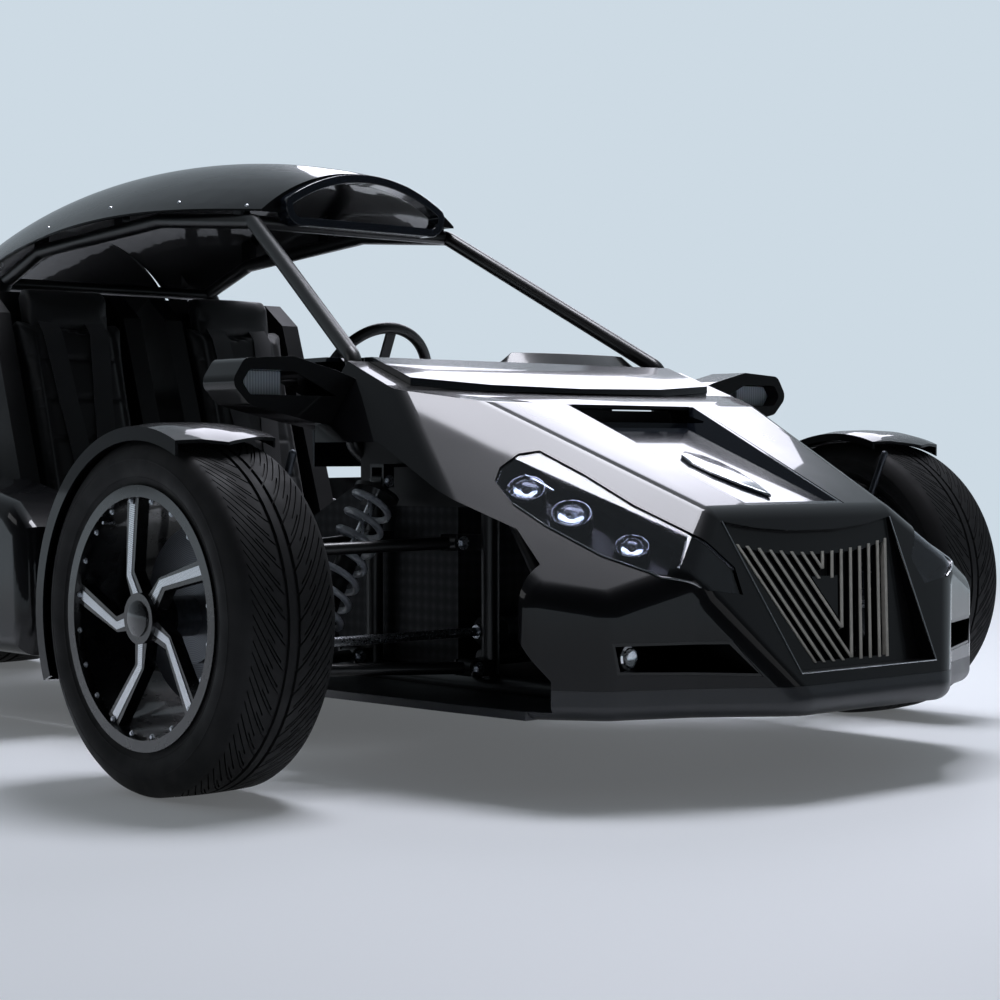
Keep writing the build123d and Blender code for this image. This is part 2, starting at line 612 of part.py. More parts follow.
def nose_solid(inset):
    """The nose as a solid, drawn in from its skin by the inset."""
    outline = NOSE_PLAN + [(-x, y) for x, y in reversed(NOSE_PLAN)]
    face = make_face(Polyline(*outline, close=True))
    if inset:
        face = offset(face, -inset, kind=Kind.INTERSECTION)
    low = NOSE_BOTTOM_Z - (50 if inset else 0)
    body = extrude(Plane.XY.offset(low) * face, 800)
    prow_y, prow_z = PROW_TOP
    lean = (prow_y - NOSE_FOOT_Y) / (prow_z - NOSE_BOTTOM_Z)
    foot_y = NOSE_FOOT_Y - lean * 60 + inset
    profile = [
        (foot_y, NOSE_BOTTOM_Z - 60), (prow_y + inset, prow_z - inset),
        (HOOD_MIDDLE[0], HOOD_MIDDLE[1] - inset),
        (COWL_FRONT[0], COWL_FRONT[1] - inset), (COWL_REAR[0], COWL_REAR[1] - inset),
        (COWL_REAR[0] + 100, COWL_REAR[1] - inset), (COWL_REAR[0] + 100, NOSE_BOTTOM_Z - 60),
    ]
    body &= side_view(profile, -900, 900)
    for point, normal in ((LAMP_POINT, LAMP_NORMAL), (FLANK_POINT, FLANK_NORMAL)):
        cut = half_space(point, normal, inset)
        body -= cut
        body -= flip(cut)
    if inset < CREASE_RADIUS / 2:
        body = fillet([edge for edge in body.edges() if is_crease(edge.center())], CREASE_RADIUS - inset)
    if inset > 0:
        body += block(-430, 430, NOSE_REAR_Y - 12, NOSE_REAR_Y + 40, 330, 655)
    return body


def is_crease(at):
    """Whether an edge of the nose with this middle is one that the skin rounds."""
    across_hood = abs(at.X) < 5 and at.Y > -200
    beside_cowl = abs(at.X) > 380 and at.Z > 600
    sill_corner = at.Y > -215 and at.Z < 400
    return 200 < at.Z and at.Y < 100 and not (across_hood or beside_cowl or sill_corner)


def lamp_plane(depth):
    """Plane on the left headlamp face, its local x rearwards along the face."""
    normal = LAMP_NORMAL.normalized()
    along = Vector(0.45, 0.85, 0.25)
    along = along - normal * along.dot(normal)
    return Plane(origin=LAMP_POINT - normal * depth, x_dir=along, z_dir=normal)


# Outline of the headlamp on its face, as (along, across), tip first
LAMP_OUTLINE = [(-254, 17), (-210, -36), (-130, -62), (-25, -53), (85, -23), (157, 7), (205, 46), (212, 82),
                (198, 128), (168, 150), (74, 122), (-35, 81), (-151, 52), (-225, 54)]


LAMP_DEPTH = 54.0
# Middle and radius of each projector, as (along, across, radius)
LAMP_PROJECTORS = [(158, 72, 34), (62, 42, 36), (-62, 6, 30)]


def lamp_prism(grow):
    """Everything above and below the headlamp's outline, grown or drawn in."""
    face = make_face(Polyline(*LAMP_OUTLINE, close=True))
    if grow:
        face = offset(face, grow, kind=Kind.INTERSECTION)
    return extrude(lamp_plane(170) * face, 240)


SHOULDER_Y = (92.0, 187.0)
LOOP_END_X = 734.0


def loop_hole():
    """Slot in the shoulder loop, in (x, z)."""
    end = LOOP_END_X
    points = [(end - 230, 668), (end - 41, 668), (end - 24, 690), (end - 40, 712), (end - 134, 712)]
    hole = make_face(Polyline(*points, close=True))
    return fillet(hole.vertices().sort_by(Axis.X)[-3:], 9)


def shoulder_arms():
    """Arms from the hood's flanks to the rounded loops that hold the side lamps."""
    end = LOOP_END_X
    outline = [(430, 600), (560, 622), (end - 39, 650), (end, 688), (end - 29, 732), (end - 134, 738),
               (500, 714), (400, 682)]
    face = make_face(Polyline(*outline, close=True))
    face = fillet(face.vertices().sort_by(Axis.X)[-3:], 22)
    arm = extrude(Plane.XZ.offset(-SHOULDER_Y[1]) * (face - loop_hole()), SHOULDER_Y[1] - SHOULDER_Y[0])
    arm -= nose_solid(-SEAT_GAP)
    arm -= rod((PILLAR_FOOT[0], PILLAR_FOOT[1], 500), PILLAR_FOOT, CAGE_RADIUS + 6)
    arm = arm.solids().sort_by(SortBy.VOLUME)[-1]
    return Compound([arm, flip(arm)])


def mouth_outline(grow):
    """Outline of the opening round the grille in (x, z), its top edge sagging in the middle."""
    half = [(60, 433 + grow), (150, 440 + grow), (226 + grow, 452 + grow), (182 + grow, 206 - grow)]
    return half + [(-x, z) for x, z in reversed(half)]


def nose_shell():
    """Hood, shoulders and bumper as one skin, with its openings."""
    shell = nose_solid(0) - nose_solid(NOSE_WALL)
    arch = [(NOSE_REAR_Y + 5, 585), (-40, 585), (-220, 505), (-380, 440), (-455, 385), (-455, 265),
            (-505, 200), (-505, NOSE_BOTTOM_Z - 10), (NOSE_REAR_Y + 5, NOSE_BOTTOM_Z - 10)]
    shell -= side_view(arch, 410, 900)
    shell -= side_view(arch, -900, -410)
    shell -= plan_view([(-410, -380), (410, -380), (410, NOSE_REAR_Y + 5), (-410, NOSE_REAR_Y + 5)],
                       NOSE_BOTTOM_Z - 10, 330)
    channel = [(CHANNEL_HALF, CHANNEL_REAR_Y), (CHANNEL_FRONT_HALF, CHANNEL_FRONT_Y),
               (-CHANNEL_FRONT_HALF, CHANNEL_FRONT_Y), (-CHANNEL_HALF, CHANNEL_REAR_Y)]
    shell -= plan_view(channel, 440, 760)
    lamp = lamp_prism(0) & block(0, 900, NOSE_Y - 50, -100, 250, 900)
    fog = front_view(fog_outline(0), NOSE_Y - 20, -480)
    for cut in (lamp, fog):
        shell -= cut
        shell -= flip(cut)
    shell -= block(-900, 900, NOSE_Y - 50, 200, 0, CHIN_TOP_Z)
    shell += front_view(mouth_outline(MOUTH_WALL + SEAT_GAP), NOSE_Y, MOUTH_REAR_Y) & nose_solid(0)
    shell -= front_view(mouth_outline(SEAT_GAP), NOSE_Y - 20, MOUTH_REAR_Y + 20)
    return shell


UNDERTRAY_Z = NOSE_BOTTOM_Z + UNDERTRAY_THICKNESS


def front_splitter():
    """Rolled chin under the bumper, with the flat undertray behind it."""
    chin = nose_solid(0) & block(-900, 900, NOSE_FOOT_Y - 10, CHIN_REAR_Y, 0, CHIN_TOP_Z - SEAT_GAP)
    middles = [(edge, edge.center()) for edge in chin.edges()]
    rolled = [edge for edge, at in middles if at.Z < NOSE_BOTTOM_Z + 1 and at.Y < CHIN_REAR_Y - 1]
    chin = fillet(rolled, CHIN_RADIUS)
    chin -= nose_solid(CHIN_WIDTH) & block(-900, 900, NOSE_FOOT_Y, 0, UNDERTRAY_Z, 300)
    for way in (-1, 1):
        low, high = sorted((way * 410, way * 900))
        chin -= block(low, high, -505, 0, UNDERTRAY_Z, 300)
    outline = [(0, CHIN_REAR_Y), (558, CHIN_REAR_Y), (571, -283), (586, 20), (570, 260), (350, 330), (0, 330)]
    shape = chin + both(plan_view(outline, NOSE_BOTTOM_Z, UNDERTRAY_Z))
    rails = main_rail(SEAT_GAP) + sill_rail(SEAT_GAP)
    for y in FRONT_HOOP_Y:
        rails += rod((RAIL_X, y, 100), (RAIL_X, y, 200), RAIL_RADIUS - 6 + SEAT_GAP)
    shape -= both(rails)
    for y in CROSS_TUBE_Y[:2]:
        shape -= rod((-RAIL_X, y, RAIL_Z), (RAIL_X, y, RAIL_Z), CROSS_RADIUS + SEAT_GAP)
    return shape


def hood_channel():
    """Recessed tray let into the hood, with the intake slot along its rear."""
    hood_front = hood_line(CHANNEL_FRONT_Y)
    fit = SEAT_GAP
    outline = [(CHANNEL_HALF - fit, CHANNEL_REAR_Y - fit), (CHANNEL_FRONT_HALF - fit, CHANNEL_FRONT_Y + fit),
               (-CHANNEL_FRONT_HALF + fit, CHANNEL_FRONT_Y + fit),
               (-CHANNEL_HALF + fit, CHANNEL_REAR_Y - fit)]
    tray = plan_view(outline, 400, 800)
    tray &= side_view([(CHANNEL_FRONT_Y - 5, hood_front - 3), (CHANNEL_REAR_Y + 5, HOOD_MIDDLE[1] + 2),
                       (CHANNEL_REAR_Y + 5, HOOD_MIDDLE[1] - CHANNEL_DEPTH - 6),
                       (CHANNEL_FRONT_Y - 5, hood_front - 14)], -300, 300)
    top = [(CHANNEL_HALF - 5, CHANNEL_REAR_Y - 1), (CHANNEL_FRONT_HALF - 4, CHANNEL_FRONT_Y + 6)]
    low = [(CHANNEL_HALF - 34, CHANNEL_REAR_Y - 6), (CHANNEL_FRONT_HALF - 12, CHANNEL_FRONT_Y + 16)]
    faces = []
    for (rear, front), drop in ((top, -1), (low, 1)):
        (rear_x, rear_y), (front_x, front_y) = rear, front
        rear_z = HOOD_MIDDLE[1] + 6 if drop < 0 else HOOD_MIDDLE[1] - CHANNEL_DEPTH
        front_z = hood_front + 10 if drop < 0 else hood_front - 4
        corners = [(rear_x, rear_y, rear_z), (front_x, front_y, front_z),
                   (-front_x, front_y, front_z), (-rear_x, rear_y, rear_z)]
        faces.append(make_face(Polyline(*corners, close=True)))
    tray -= loft(faces, ruled=True)
    slot_top = HOOD_MIDDLE[1] - NOSE_WALL
    tray -= block(-CHANNEL_HALF + 20, CHANNEL_HALF - 20, CHANNEL_REAR_Y - 40, CHANNEL_REAR_Y + 10,
                  slot_top - SLOT_HEIGHT, slot_top + 40)
    return tray


def hood_line(y):
    """Height of the hood's centre line ahead of its middle."""
    (front_y, front_z), (rear_y, rear_z) = PROW_TOP, HOOD_MIDDLE
    return front_z + (rear_z - front_z) * (y - front_y) / (rear_y - front_y)


# Grille face: its foot and top in (y, z), and half widths of the slatted part at foot and top
GRILLE_FOOT = (-684.0, 212.0)
GRILLE_TOP = (-596.0, 416.0)
GRILLE_HALF_FOOT = 98.0
GRILLE_HALF_TOP = 202.0
GRILLE_SLATS = 16
SLAT_WIDTH = 9.0
SLAT_DEPTH = 7.0
PANEL_DEPTH = 4.0
BADGE_SLATS = 3


def grille():
    """Two fans of slats that meet over a plain dark triangle, set in a dished panel."""
    rise = GRILLE_TOP[1] - GRILLE_FOOT[1]
    back = GRILLE_TOP[0] - GRILLE_FOOT[0]
    length = math.hypot(rise, back)
    plane = Plane(origin=(0, *GRILLE_FOOT), x_dir=(1, 0, 0), z_dir=(0, -rise, back))
    top = [(GRILLE_HALF_TOP, length), (GRILLE_HALF_TOP * 0.66, length - 13),
           (GRILLE_HALF_TOP * 0.26, length - 20)]
    right = [(GRILLE_HALF_FOOT, 0)] + top
    outline = make_face(Polyline(*right, *[(-x, y) for x, y in reversed(right)], close=True))
    inside = offset(outline, -6, kind=Kind.INTERSECTION)
    shape = outline - inside
    lean = (GRILLE_HALF_TOP - GRILLE_HALF_FOOT) / length
    pitch = 2 * GRILLE_HALF_TOP / GRILLE_SLATS
    badge_top = length * 0.68
    for index in range(1, GRILLE_SLATS // 2):
        x = GRILLE_HALF_TOP - pitch * index
        end = max(0.0, length - x / lean)
        if index > GRILLE_SLATS // 2 - BADGE_SLATS:
            end = max(end, badge_top)
        foot = x - (length - end) * lean
        slat = make_face(Polyline((x - SLAT_WIDTH / 2, length), (x + SLAT_WIDTH / 2, length),
                                  (foot + SLAT_WIDTH / 2, end), (foot - SLAT_WIDTH / 2, end), close=True))
        shape += slat + mirror(slat, about=Plane.YZ)
    badge_half = pitch * (BADGE_SLATS - 0.3) - (length - badge_top) * lean
    shape += make_face(Polyline((-badge_half, badge_top + 4), (badge_half, badge_top + 4),
                                (0, badge_top + 4 - badge_half / lean), close=True))
    slats = extrude(plane * (shape & outline), -SLAT_DEPTH)
    panel = extrude(plane * Rectangle(700, 700), -PANEL_DEPTH) - extrude(plane * outline, -2 * PANEL_DEPTH)
    return slats + (panel & front_view(mouth_outline(0), NOSE_Y, MOUTH_REAR_Y + 10))


def headlamps():
    """Headlamp buckets that follow the skin, each with three round projectors on its floor."""
    mouth = front_view(mouth_outline(MOUTH_WALL + 3 * SEAT_GAP), NOSE_Y, 0)
    keep = block(0, 900, NOSE_Y, 0, 100, 900) - mouth
    unit = (nose_solid(NOSE_WALL + SEAT_GAP) - nose_solid(LAMP_DEPTH + 4)) & lamp_prism(-0.8)
    unit -= lamp_prism(-4) - nose_solid(LAMP_DEPTH)
    for x, y, radius in LAMP_PROJECTORS:
        plane = lamp_plane(0) * Pos(x, y, 0)
        unit += plane * Pos(0, 0, 14 - LAMP_DEPTH) * Cylinder(radius, 30)
        unit -= plane * Pos(0, 0, 32 - LAMP_DEPTH) * Cylinder(radius - 5, 12)
    unit = (unit & keep).solids().sort_by(SortBy.VOLUME)[-1]
    return Compound([unit, flip(unit)])


def headlamp_covers():
    """Clear covers that close the headlamp openings just under the skin."""
    half = block(0, 900, NOSE_Y, 0, 100, 900)
    cover = (nose_solid(NOSE_WALL / 2) - nose_solid(NOSE_WALL)) & lamp_prism(-SEAT_GAP) & half
    cover = cover.solids().sort_by(SortBy.VOLUME)[-1]
    return Compound([cover, flip(cover)])


def fog_outline(inset):
    """Outline of the fog lamp recess in (x, z)."""
    return [(250 + inset, 204 + inset), (466 - inset, 211 + inset), (474 - inset, 262 - inset),
            (290 + inset, 262 - inset)]


def fog_lamps():
    """Recessed trays low in the bumper, each with one round lamp."""
    tray = front_view(fog_outline(SEAT_GAP), NOSE_Y, -500) & nose_solid(1)
    tray -= front_view(fog_outline(5), NOSE_Y, -505)
    tray += rod((415, -560, 235), (415, -503, 235), 22)
    return Compound([tray, flip(tray)])


def shoulder_lamps():
    """Lenses in the outer ends of the shoulder loops."""
    face = offset(loop_hole(), -SEAT_GAP) & (Pos(LOOP_END_X - 64, 684) * Rectangle(130, 90))
    lens = extrude(Plane.XZ.offset(-SHOULDER_Y[1] + 20) * face, 45)
    return Compound([lens, flip(lens)])


def radiator():
    """Cooling core behind the grille, standing on the undertray."""
    shape = block(-180, 180, -545, -505, 205, 425)
    shape += block(-195, 195, -548, -502, 195, 209) + block(-195, 195, -548, -502, 421, 435)
    for x in (-150, 150):
        shape += block(x - 14, x + 14, -540, -510, UNDERTRAY_Z, 200)
    return shape


DASH_Y = 300.0
COWL_SHEET = 8.0


def dash_cowl():
    """Panel at the foot of the windscreen frame, with the dash fascia below its rear."""
    outline = [(0, -24), (227, -15), (395, 14), (395, SHOULDER_Y[1] + 3), (452, SHOULDER_Y[1] + 3),
               (440, DASH_Y), (0, DASH_Y + 30)]
    half = plan_view(outline, 600, 800)
    low = SEAT_GAP
    profile = [(-40, COWL_FRONT[1] + low), (COWL_FRONT[0], COWL_FRONT[1] + low),
               (NOSE_REAR_Y, COWL_REAR[1] + low),
               (DASH_Y + 60, COWL_REAR[1] + low), (DASH_Y + 60, COWL_REAR[1] + low + COWL_SHEET),
               (NOSE_REAR_Y - 10, COWL_REAR[1] + low + COWL_SHEET), (-40, COWL_FRONT[1] + low + 3)]
    shape = both(half) & side_view(profile, -600, 600)
    shape += block(-400, 400, DASH_Y - 6, DASH_Y, 540, COWL_REAR[1] + COWL_SHEET)
    pillar = rod(PILLAR_FOOT, PILLAR_HEAD, CAGE_RADIUS + 3)
    pillar += rod((PILLAR_FOOT[0], PILLAR_FOOT[1], 600), (PILLAR_FOOT[0], PILLAR_FOOT[1], 760),
                  CAGE_RADIUS + 3)
    return shape - pillar - flip(pillar)


def instrument_hood():
    """Low oval cowl over the instruments, on the driver's side."""
    base = COWL_REAR[1] + COWL_SHEET + 2 * SEAT_GAP
    oval = Plane.XY.offset(base) * Pos(212, 236) * Ellipse(190, 66)
    return extrude(oval, 26, taper=50)


def column_point(run):
    """Point on the steering column, measured down from the wheel's centre."""
    x, y, z = STEERING_WHEEL_CENTRE
    deg = math.radians(COLUMN_DEG)
    return (x, y - run * math.cos(deg), z - run * math.sin(deg))


COLUMN_RUN = 640.0


def shaft_axis():
    """Direction of the lower steering shaft, from the rack up to the column."""
    return (Vector(*column_point(COLUMN_RUN)) - RACK_INPUT).normalized()


def steering_column():
    """Column tube, its clamp on the dash and the lower shaft down to the rack."""
    shape = rod(column_point(40), column_point(COLUMN_RUN), 20)
    shape += Pos(*column_point(COLUMN_RUN)) * Sphere(22)
    shape += rod(column_point(COLUMN_RUN), RACK_INPUT + shaft_axis() * (RACK_BOSS + SEAT_GAP), 11)
    _, y, z = column_point((STEERING_WHEEL_CENTRE[1] - DASH_Y) / math.cos(math.radians(COLUMN_DEG)))
    shape += block(SEAT_X - 30, SEAT_X + 30, DASH_Y + SEAT_GAP, DASH_Y + 30, z - 10, 600)
    shape -= rod(column_point(30), column_point(90), 10 + SEAT_GAP)
    return shape


def steering_wheel():
    """Three spoke steering wheel on its short shaft."""
    axis = Vector(*column_point(1)) - Vector(*column_point(0))
    plane = Plane(origin=STEERING_WHEEL_CENTRE, x_dir=(1, 0, 0), z_dir=-axis)
    shape = plane * Torus(WHEEL_RIM_RADIUS, 13)
    shape += plane * Pos(0, 0, -14) * Cylinder(34, 24)
    for deg in (0, 180, 270):
        shape += plane * Rot(0, 0, deg) * Pos(WHEEL_RIM_RADIUS / 2, 0, -6) * Box(WHEEL_RIM_RADIUS - 4, 26, 6)
    shape += rod(column_point(20), column_point(80), 10)
    return shape


# Seat in side view as (y, z)
SEAT_BASE_Z = RAIL_Z + RAIL_RADIUS + FLOOR_THICKNESS + 2 * SEAT_GAP
SEAT_OUTER = [(905, SEAT_BASE_Z), (905, 345), (1250, 330), (1300, 400), (1465, 890), (1540, 945), (1610, 905),
              (1400, SEAT_BASE_Z)]
SEAT_HOLLOW = [(880, 300), (1300, 248), (1338, 290), (1545, 960), (700, 960), (700, 300)]
SEAT_UNDER = [(925, 170), (925, 284), (1305, 232), (1352, 280), (1545, 900), (1585, 880), (1388, 170)]


def seat_shells():
    """Two bucket seat shells with side bolsters."""
    half = SEAT_WIDTH / 2
    shell = side_view(SEAT_OUTER, SEAT_X - half, SEAT_X + half)
    shell -= side_view(SEAT_HOLLOW, SEAT_X - half + 48, SEAT_X + half - 48)
    shell -= side_view(SEAT_UNDER, SEAT_X - half + 10, SEAT_X + half - 10)
    return Compound([shell, flip(shell)])


def seat_cushions():
    """Seat and back cushions of both seats."""
    half = SEAT_WIDTH / 2 - 48 - SEAT_GAP
    base = [(895, 298.5), (1290, 249.6), (1300, 300), (1290, 320), (905, 352), (885, 330)]
    back = [(1303, 300), (1335, 292), (1516, 878), (1480, 900), (1455, 880), (1293, 330)]
    pads = [side_view(base, SEAT_X - half, SEAT_X + half), side_view(back, SEAT_X - half, SEAT_X + half)]
    return Compound(pads + [flip(pad) for pad in pads])


def floor_pan():
    """Cabin floor with the front wall and sides of the footwell."""
    low = RAIL_Z + RAIL_RADIUS + SEAT_GAP
    top = low + FLOOR_THICKNESS
    outline = [(0, FOOTWELL_FRONT_Y), (345, FOOTWELL_FRONT_Y), (345, 420), (530, 560), (530, 1440),
               (330, 1485), (0, 1485)]
    shape = both(plan_view(outline, low, top))
    shape += block(-345, 345, FOOTWELL_FRONT_Y, FOOTWELL_FRONT_Y + 5, top - 1, 500)
    for x in (-345, 340):
        shape += side_view([(FOOTWELL_FRONT_Y, top - 1), (420, top - 1), (420, 420), (250, 500),
                            (FOOTWELL_FRONT_Y, 500)], x, x + 5)
    shape -= rod(column_point(COLUMN_RUN), RACK_INPUT, 18)
    return shape


# Roof sections as (y, half width, edge height, crown height)
ROOF_SECTIONS = [
    (SCOOP_Y, 262, 1070, 1164),
    (900, 322, 1084, 1208),
    (1230, 348, 1078, 1226),
    (1560, 345, 1030, 1200),
    (1850, 318, 955, 1140),
]
COVER_SHEET = 6.0
COVER_SECTIONS = [
    (1850.3, 318, 700, 1140),
    (2100, 285, 712, 1048),
    (2420, 215, 745, 940),
    (TAIL_Y, 140, 790, 868),
]


def arched_shell(sections, wall, fall):
    """A lofted shell of arched sections, open below."""
    outer, inner = (arched_solid(sections, inset, fall) for inset in (0, wall))
    return outer - inner


def arched_solid(sections, inset, fall):
    """The solid below an arched skin, drawn in by the inset."""
    faces = []
    for y, half, edge, crown in sections:
        foot = edge - 4 - (fall if inset else 0)
        left, right = (-half + inset, edge), (half - inset, edge)
        arc = ThreePointArc(left, (0, crown - inset), right)
        foot_left, foot_right = (left[0], foot), (right[0], foot)
        outline = [arc, Line(right, foot_right), Line(foot_right, foot_left), Line(foot_left, left)]
        faces.append(Plane.XZ.offset(-y) * make_face(outline))
    return loft(faces)


def scoop_outline(grow):
    """D-shaped mouth of the roof scoop in (x, z), grown all round."""
    half, low = SCOOP_HALF, SCOOP_BOTTOM_Z
    arc = ThreePointArc((-half, low + 26), (0, low + SCOOP_HEIGHT), (half, low + 26))
    low_left, low_right = (-half + 30, low), (half - 30, low)
    left = ThreePointArc(low_left, (-half + 3, low + 10), (-half, low + 26))
    right = ThreePointArc((half, low + 26), (half - 3, low + 10), low_right)
    face = make_face([arc, right, Line(low_right, low_left), left])
    return offset(face, grow) if grow else face


def roof_scoop():
    """Frame of the scoop, let into the roof's front wall."""
    front = Plane.XZ.offset(-SCOOP_Y - SCOOP_WALL)
    ring = extrude(front * scoop_outline(SCOOP_LIP), SCOOP_WALL + 24)
    return ring - extrude(front * scoop_outline(0), 200, both=True)


def roof_shell():
    """Domed roof with the scoop's opening in its front wall, on pads over the roof rails."""
    shell = arched_shell(ROOF_SECTIONS, ROOF_SHEET, 60)
    shell += arched_solid(ROOF_SECTIONS, 0, 0) & block(-400, 400, SCOOP_Y, SCOOP_Y + SCOOP_WALL, 1000, 1300)
    seat = Plane.XZ.offset(-SCOOP_Y - SCOOP_WALL - SEAT_GAP)
    shell -= extrude(seat * scoop_outline(SCOOP_LIP + SEAT_GAP), 100)
    shell -= extrude(seat * scoop_outline(0), 200, both=True)
    rail = pipe(ROOF_RAIL, CAGE_RADIUS + SEAT_GAP, 40)
    below = arched_solid(ROOF_SECTIONS, ROOF_SHEET / 2, 60)
    for y in (720, 1150, 1480, 1780):
        start, end = next(pair for pair in zip(ROOF_RAIL, ROOF_RAIL[1:]) if pair[0][1] <= y <= pair[1][1])
        share = (y - start[1]) / (end[1] - start[1])
        x, z = start[0] + (end[0] - start[0]) * share, start[2] + (end[2] - start[2]) * share
        pad = (block(x - 9, x + 9, y - 18, y + 18, z, z + 160) & below) - rail
        shell += pad + flip(pad)
    return shell


def engine_cover():
    """Rear body over the engine and the rear wheel, tapering to the tail."""
    return arched_shell(COVER_SECTIONS, COVER_SHEET, 60)


def tail_lamps():
    """Panel that closes the tail, with two round lamps let into it."""
    y, _, edge, _ = COVER_SECTIONS[-1]
    panel = arched_solid(COVER_SECTIONS, COVER_SHEET + SEAT_GAP, 60)
    panel &= block(-400, 400, y - 6, y, edge - 3, 1200)
    for x in (-70, 70):
        panel -= rod((x, y - 3, edge + 16), (x, y + 1, edge + 16), 22)
        panel += rod((x, y - 4, edge + 16), (x, y - 1, edge + 16), 18)
    return panel


def side_pods():
    """Rounded pods along both sills."""
    low = 165.0
    inner = OUTER_RAIL_X + math.sqrt((RAIL_RADIUS - 3) ** 2 - (low - RAIL_Z) ** 2) + SEAT_GAP
    pod = side_view([(780, 230), (800, low), (1700, low), (1760, 240), (1760, 420), (1680, 500), (1050, 512),
                     (850, 470), (790, 420)], inner, inner + 170)
    edges = pod.faces().sort_by(Axis.X)[-1].edges()
    pod = fillet(edges, 38)
    return Compound([pod, flip(pod)])


def engine():
    """Engine as one plain block, with its output sprocket."""
    rear = PIVOT_Y - 55
    shape = block(-250, 148, rear - 248, rear, RAIL_Z + CROSS_RADIUS + SEAT_GAP, 600)
    shape += rod((140, OUTPUT_Y, PIVOT_Z), (SPROCKET_X - 3, OUTPUT_Y, PIVOT_Z), 18)
    shape += rod((SPROCKET_X - 3, OUTPUT_Y, PIVOT_Z), (SPROCKET_X + 3, OUTPUT_Y, PIVOT_Z),
                 FRONT_SPROCKET_RADIUS)
    return shape


def exhaust():
    """Silencer on the right with its pipe from the engine."""
    start = PIVOT_Y - 55 + SEAT_GAP
    shape = pipe([(-200, start, 470), (-200, start + 42, 470), (-300, start + 152, 470),
                  (-300, start + 222, 480)], 24, 30)
    shape += rod((-300, 2040, 480), (-300, 2420, 540), 56)
    shape -= rod((-300, 2300, 521), (-300, 2430, 541.6), 26)
    return shape


def swingarm():
    """Rear swingarm with its pivot tube, brace and fixed axle."""
    y, z = WHEELBASE, REAR_TYRE_RADIUS
    shape = rod((-SWING_X - 22, PIVOT_Y, PIVOT_Z), (SWING_X + 22, PIVOT_Y, PIVOT_Z), 28)
    for way in (-1, 1):
        x = way * SWING_X
        shape += rod((x, PIVOT_Y, PIVOT_Z), (x, y, z), 24)
        shape += rod((x - 24, y, z), (x + 24, y, z), 34)
    shape += rod((-SWING_X - 36, y, z), (SWING_X + 36, y, z), 14)
    _, foot_y, foot_z = SHOCK_FOOT
    near = COIL_EYE_HALF + SEAT_GAP
    for x in (-near - LUG_THICKNESS, near):
        shape += side_view([(PIVOT_Y - 8, PIVOT_Z + 22), (PIVOT_Y + 22, PIVOT_Z + 10),
                            (foot_y + 14, foot_z - 6), (foot_y + 12, foot_z + 14),
                            (foot_y - 13, foot_z + 14)], x, x + LUG_THICKNESS)
    reach = near + LUG_THICKNESS
    shape += rod((-reach, foot_y, foot_z), (reach, foot_y, foot_z), PIN_RADIUS - 1)
    shape -= rod((-SWING_X - 40, PIVOT_Y, PIVOT_Z), (SWING_X + 40, PIVOT_Y, PIVOT_Z), 16 + SEAT_GAP)
    return shape


def rear_shock():
    """Rear spring and damper."""
    return damper(SHOCK_FOOT, SHOCK_HEAD, 20, 30)


def rear_rim():
    """Wide rear rim with spokes and a long hub that turns on the axle."""
    shape = turned(rim_profile(REAR_TYRE_WIDTH, REAR_SEAT_RADIUS, REAR_FLANGE_RADIUS), 0, REAR_TYRE_RADIUS)
    z = REAR_TYRE_RADIUS
    plane = Plane(origin=(-11, 0, z), x_dir=(0, 1, 0), z_dir=(1, 0, 0))
    outline = make_face(Polyline(*spoke_outline(REAR_SEAT_RADIUS - RIM_WALL + 2), close=True))
    for index in range(SPOKES):
        shape += extrude(plane * (Rot(0, 0, 360.0 * index / SPOKES) * outline), SPOKE_THICKNESS)
    reach = SWING_X - 24 - SEAT_GAP
    shape += rod((-reach, 0, z), (reach, 0, z), 30)
    shape += rod((-60, 0, z), (60, 0, z), HUB_RADIUS + 8)
    shape -= rod((-reach - 1, 0, z), (reach + 1, 0, z), 14 + SEAT_GAP)
    return Pos(0, WHEELBASE, 0) * shape


def rear_tyre():
    """Wide rear tyre."""
    ring = turned(tyre_profile(REAR_TYRE_WIDTH, REAR_TYRE_RADIUS, REAR_SEAT_RADIUS), 0, REAR_TYRE_RADIUS)
    return Pos(0, WHEELBASE, 0) * ring


def rear_sprocket():
    """Driven sprocket on the left of the rear hub."""
    y, z = WHEELBASE, REAR_TYRE_RADIUS
    shape = rod((SPROCKET_X - 3, y, z), (SPROCKET_X + 3, y, z), REAR_SPROCKET_RADIUS)
    for index in range(6):
        deg = math.radians(60 * index)
        at = (y + 66 * math.cos(deg), z + 66 * math.sin(deg))
        shape -= rod((SPROCKET_X - 4, *at), (SPROCKET_X + 4, *at), 16)
    return shape - rod((SPROCKET_X - 4, y, z), (SPROCKET_X + 4, y, z), 30 + SEAT_GAP / 2)


def chain_loop(grow):
    """Face inside the chain's path, grown outwards, in (y, z)."""
    small = FRONT_SPROCKET_RADIUS + grow
    big = REAR_SPROCKET_RADIUS + grow
    run = WHEELBASE - OUTPUT_Y
    lean = math.asin((big - small) / run)
    face = Pos(OUTPUT_Y, PIVOT_Z) * Circle(small) + Pos(WHEELBASE, REAR_TYRE_RADIUS) * Circle(big)
    corners = []
    for (y, z), radius, way in (((OUTPUT_Y, PIVOT_Z), small, 1), ((WHEELBASE, REAR_TYRE_RADIUS), big, 1),
                                ((WHEELBASE, REAR_TYRE_RADIUS), big, -1), ((OUTPUT_Y, PIVOT_Z), small, -1)):
        corners.append((y - radius * math.sin(lean), z + way * radius * math.cos(lean)))
    return face + make_face(Polyline(*corners, close=True))


